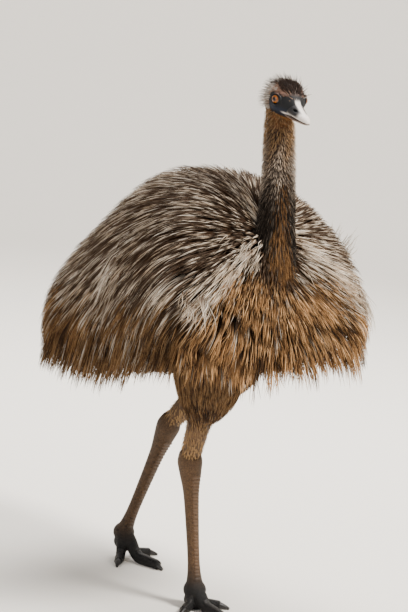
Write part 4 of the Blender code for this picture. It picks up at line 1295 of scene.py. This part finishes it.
def plume_lines(surface, place, spread, count, length, way, rise, draw):
    """Plumes with their roots about a place of the bird, a spread apart, that flow on their own way."""
    starts = [at(*(np.array(place) + draw.normal(0, 1, 3) * spread)) for _ in range(count)]
    lengths = length * draw.uniform(0.75, 1.15, count)
    return flowing_lines(surface, starts, lengths, 0.010, rise, 8, way, -0.2)


def make_loose_plumes(finish):
    """Long pale plumes that hang free over each wing, stray curved ones by the neck, and wisps off the left
    shoulder."""
    outline = torso_form("outline", 0.0, 0.0)
    surface = surface_of(outline)
    remove(outline)
    draw = np.random.default_rng(SEEDS["loose"])
    lines, normals = [], []
    for side in (-1, 1):
        for place, spread, count, length, way, rise in (
            ((0.060, 0.315 * side, 0.965), 0.024, 11, 0.210, raw(-0.35, 0, -1), 0.012),
            ((0.402, 0.285 * side, 0.925), 0.018, 6, 0.120, raw(-0.10, 0, -1), 0.012),
            ((0.372, 0.095 * side, 1.050), 0.020, 10, 0.110, raw(0.2, 0.9 * side, -0.7), 0.018),
        ):
            def flow(point, normal, way=way):
                return (way - normal * way.dot(normal)).normalized()

            found = plume_lines(surface, place, spread, count, length, flow, rise, draw)
            lines.append(found[0])
            normals.append(found[1])
    wisps, ups = [], []
    for _ in range(26):
        start = at(draw.uniform(0.14, 0.26), draw.uniform(0.320, 0.338), draw.uniform(0.93, 1.02))
        place, normal, _, _ = surface.find_nearest(start)
        reach = draw.uniform(0.06, 0.13)
        end = raw(draw.uniform(0.15, 0.75), draw.uniform(0.0, 0.16), 1.0)
        wisps.append([
            place + end * (reach * s) + normal * (0.014 * math.sin(s * 2.6)) for s in np.linspace(0, 1, 9)
        ])
        ups.append([normal] * 9)
    lines.append(np.array(wisps))
    normals.append(np.array(ups))
    lines, normals = np.concatenate(lines), np.concatenate(normals)
    plumes = np.full(len(lines), PLUME_WIDTH["loose"])
    strands, ups, _, owner = split_lines(lines, normals, STRANDS["loose"], plumes, 0.020, 0.005, 7, draw, 0.4)
    tone = 0.5 * draw.random(len(lines))[owner] + 0.5 * draw.random(len(owner))
    shade = mixed(mixed(GREY, CREAM, tone), TAN, draw.random(len(owner)) * 0.4)
    shade = shade * (0.45 + 0.55 * tone)[:, None]
    fade = ramp(np.linspace(0, 1, strands.shape[1]), 0.05, 0.45)[None, :, None]
    tints = shade[:, None] * fade + BROWN * (1 - fade)
    return strand_piece("loose_plumes", "loose", strands, ups, tints, along_body(strands[:, 0]), finish, draw)


def make_scutes(side, finish):
    """Flat horny plates down the front of one shank and along the top of each toe, each over the next."""
    pieces, rows = [], []
    points, sizes = limb_rows(SHANK_SIZES, TOE_JOINT[side], ANKLE[side], 200)
    low, high = at(*TOE_JOINT[side]), at(*ANKLE[side])
    length = (high - low).length
    along = (high - low).normalized()
    across = (Vector((1, 0, 0)) - along * along.x).normalized()
    front = across.cross(along)
    if front.y > 0:
        front = -front
    for i in range(SHANK_SCUTES):
        share = 0.06 + 0.80 * i / (SHANK_SCUTES - 1)
        index = int(np.argmin([abs((p - low).length / length - share) for p in points]))
        width, depth = sizes[index]
        place = points[index] + front * (depth - 0.0024)
        rows.append((place, along, front, width * 0.60, length / SHANK_SCUTES * 0.47))
    for toe in TOES:
        line, _ = toe_line(side, toe, 60)
        for i in range(16, 58, 3):
            along = (line[i + 1] - line[i - 1]).normalized()
            front = (Vector((0, 0, 1)) - along * along.z).normalized()
            share = i / 59
            rise = toe[2] * (1.0 - 0.26 * share)
            rows.append((line[i] + front * (rise - 0.0014), along, front, rise * 0.62, 0.0052))
    for place, along, front, wide, tall in rows:
        bpy.ops.mesh.primitive_uv_sphere_add(segments=10, ring_count=6)
        plate = bpy.context.object
        across = along.cross(front)
        plate.matrix_world = Matrix((
            (*(across * wide), 0), (*(along * tall), 0), (*(front * SCUTE_THICKNESS), 0), (0, 0, 0, 1),
        )).transposed()
        plate.matrix_world.translation = place
        bpy.ops.object.transform_apply()
        pieces.append(plate)
    scutes = join_pieces("scutes_" + side, pieces)
    heights = places_of(scutes)[:, 2]
    # The left leg's plates take the same painted shade
    tints = np.tile(SCUTE_BROWN * (SHADED_SHANK if side == "left" else 1.0), (len(heights), 1))
    set_tints(scutes, mixed_rows(tints, SCUTE_BLACK, 1 - ramp(heights, 0.05, 0.14)))
    return finished(scutes, finish)


def make_stage():
    """The pale round floor, which turns up far from the bird in one soft curve."""
    bpy.ops.object.select_all(action="DESELECT")
    bpy.ops.mesh.primitive_circle_add(vertices=96, radius=FLOOR_RADIUS, fill_type="NGON")
    floor = bpy.context.object
    floor.name = floor.data.name = "floor"

    def turn_up():
        bpy.ops.mesh.select_mode(type="EDGE")
        bpy.ops.mesh.select_all(action="DESELECT")
        bpy.ops.mesh.select_non_manifold()
        wide, high = FLOOR_RADIUS, 0.0
        for angle in np.radians(np.arange(6, 91, 6)):
            next_wide = FLOOR_RADIUS + CURVE_RADIUS * math.sin(angle)
            next_high = CURVE_RADIUS - CURVE_RADIUS * math.cos(angle)
            bpy.ops.mesh.extrude_edges_move(TRANSFORM_OT_translate={"value": (0, 0, next_high - high)})
            bpy.ops.transform.resize(value=(next_wide / wide, next_wide / wide, 1))
            wide, high = next_wide, next_high
        bpy.ops.mesh.extrude_edges_move(TRANSFORM_OT_translate={"value": (0, 0, WALL_HEIGHT)})
        bpy.ops.mesh.select_mode(type="VERT")

    in_edit_mode(floor, turn_up)
    # Pale matt paper, unrolled without a crease: no gloss and no pattern, so the eye stays on the bird
    made, _, shader = new_material("pale matt paper")
    shader.inputs["Base Color"].default_value = (*linear("#efe9e0"), 1)
    shader.inputs["Roughness"].default_value = 0.9
    finished(floor, made)


def add_light(name, place, aim, size, power, tone):
    """One soft square light."""
    data = bpy.data.lights.new(name, "AREA")
    data.size = size
    data.energy = power
    data.color = tone
    light = bpy.data.objects.new(name, data)
    light.location = place
    light.rotation_euler = (Vector(aim) - Vector(place)).to_track_quat("-Z", "Y").to_euler()
    bpy.context.scene.collection.objects.link(light)


def make_world():
    """The even grey light from all round."""
    world = bpy.data.worlds.new("studio")
    world.use_nodes = True
    background = world.node_tree.nodes["Background"]
    background.inputs["Color"].default_value = (*linear("#dfe2e6"), 1)
    background.inputs["Strength"].default_value = 0.60
    bpy.context.scene.world = world


def make_camera():
    """The camera, at the photograph's viewing angle."""
    data = bpy.data.cameras.new("camera")
    data.sensor_fit = "VERTICAL"
    data.sensor_height = 36
    data.lens = CAMERA_LENS
    camera = bpy.data.objects.new("camera", data)
    pitch, roll = math.radians(CAMERA_PITCH), math.radians(CAMERA_ROLL)
    east, north = CAMERA_WAY
    look = Vector((east * math.cos(pitch), north * math.cos(pitch), -math.sin(pitch)))
    right = look.cross(Vector((0, 0, 1))).normalized()
    up = right.cross(look)
    side = right * math.cos(roll) + up * math.sin(roll)
    top = up * math.cos(roll) - right * math.sin(roll)
    turned = Matrix((side, top, -look)).transposed().to_4x4()
    camera.matrix_world = Matrix.Translation(Vector(CAMERA_PLACE) + ORIGIN_MOVE) @ turned
    bpy.context.scene.collection.objects.link(camera)
    bpy.context.scene.camera = camera


make_camera()
make_stage()
for light in LIGHTS:
    add_light(*light)
make_world()

# Dry leathery skin, tight over bone: a dull broken light, soft wrinkles, and on the legs flat scales with
# dark gaps. Real wrinkles are under 1 mm apart and are drawn 2.4 mm apart, so that they show
skin_finish = painted(
    "leathery skin", roughness=0.62, gloss=0.25, mottle_mm=9, mottle=0.25, bump_mm=2.4, bump_depth_mm=0.8,
    scale_mm=5.5,
)
# Loose unzipped feather, dry and dusty: nearly no gloss, each strand in its own tint, with soft lighter and
# darker patches. Real barbs are under 0.2 mm wide, and the strands stand for tufts of them
feather_finish = painted("loose feather", roughness=0.80, gloss=0.12, mottle_mm=14, mottle=0.18)
# Horn worn smooth by feeding: a soft shine along the ridge and faint clouds in the pale part, which is a
# painted highlight
horn_finish = painted(
    "smooth horn", roughness=0.38, gloss=0.5, mottle_mm=6, mottle=0.12, bump_mm=2, bump_depth_mm=0.1,
)
# Moist living eye under a clear front: a small sharp glint over a deep pupil and an amber ring
eye_finish = painted("moist eye", roughness=0.16, gloss=0.35, mottle_mm=2, mottle=0.1, coat=0.15)
# Claw horn worn on sand: dark, with a dull shine and fine pits, drawn 1.5 mm wide so that they show
claw_finish = painted(
    "worn claw horn", roughness=0.4, gloss=0.4, mottle_mm=5, mottle=0.2, bump_mm=1.5, bump_depth_mm=0.15,
)
# Horny plates, dry and a little polished by grass: each catches a narrow light across its curve
scute_finish = painted(
    "dry horny scale", roughness=0.5, gloss=0.35, mottle_mm=5, mottle=0.2, bump_mm=1.5, bump_depth_mm=0.2,
)

FLESH = ["head", "neck_upper", "neck_lower", "torso", "tail"]
FLESH += [part + "_" + side for part in ("wing", "thigh", "shank", "foot") for side in ("left", "right")]

skin = make_skin(skin_finish)
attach(skin, "root")
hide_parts(*FLESH)
for half in ("upper", "lower"):
    bill = make_bill(half, horn_finish)
    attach(bill, "root")
    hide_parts("bill_" + half)
for side in ("left", "right"):
    eye = make_eye(side, eye_finish)
    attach(eye, "root")
    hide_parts("eye_" + side)
    for toe in TOES:
        claw = make_claw(side, toe, claw_finish)
        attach(claw, "root")
        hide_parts("claw_" + toe[0] + "_" + side)
coats = make_body_coat(feather_finish)
neck = make_neck_coat(feather_finish)
thighs = [make_thigh_coat(side, feather_finish) for side in ("left", "right")]
hair = make_head_coat(feather_finish)
coats.append(make_loose_plumes(feather_finish))
for side in ("left", "right"):
    scutes = make_scutes(side, scute_finish)
    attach(scutes, "root")
for piece in coats + thighs:
    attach(piece, "root")
for piece in (neck, hair):
    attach(piece, "root")
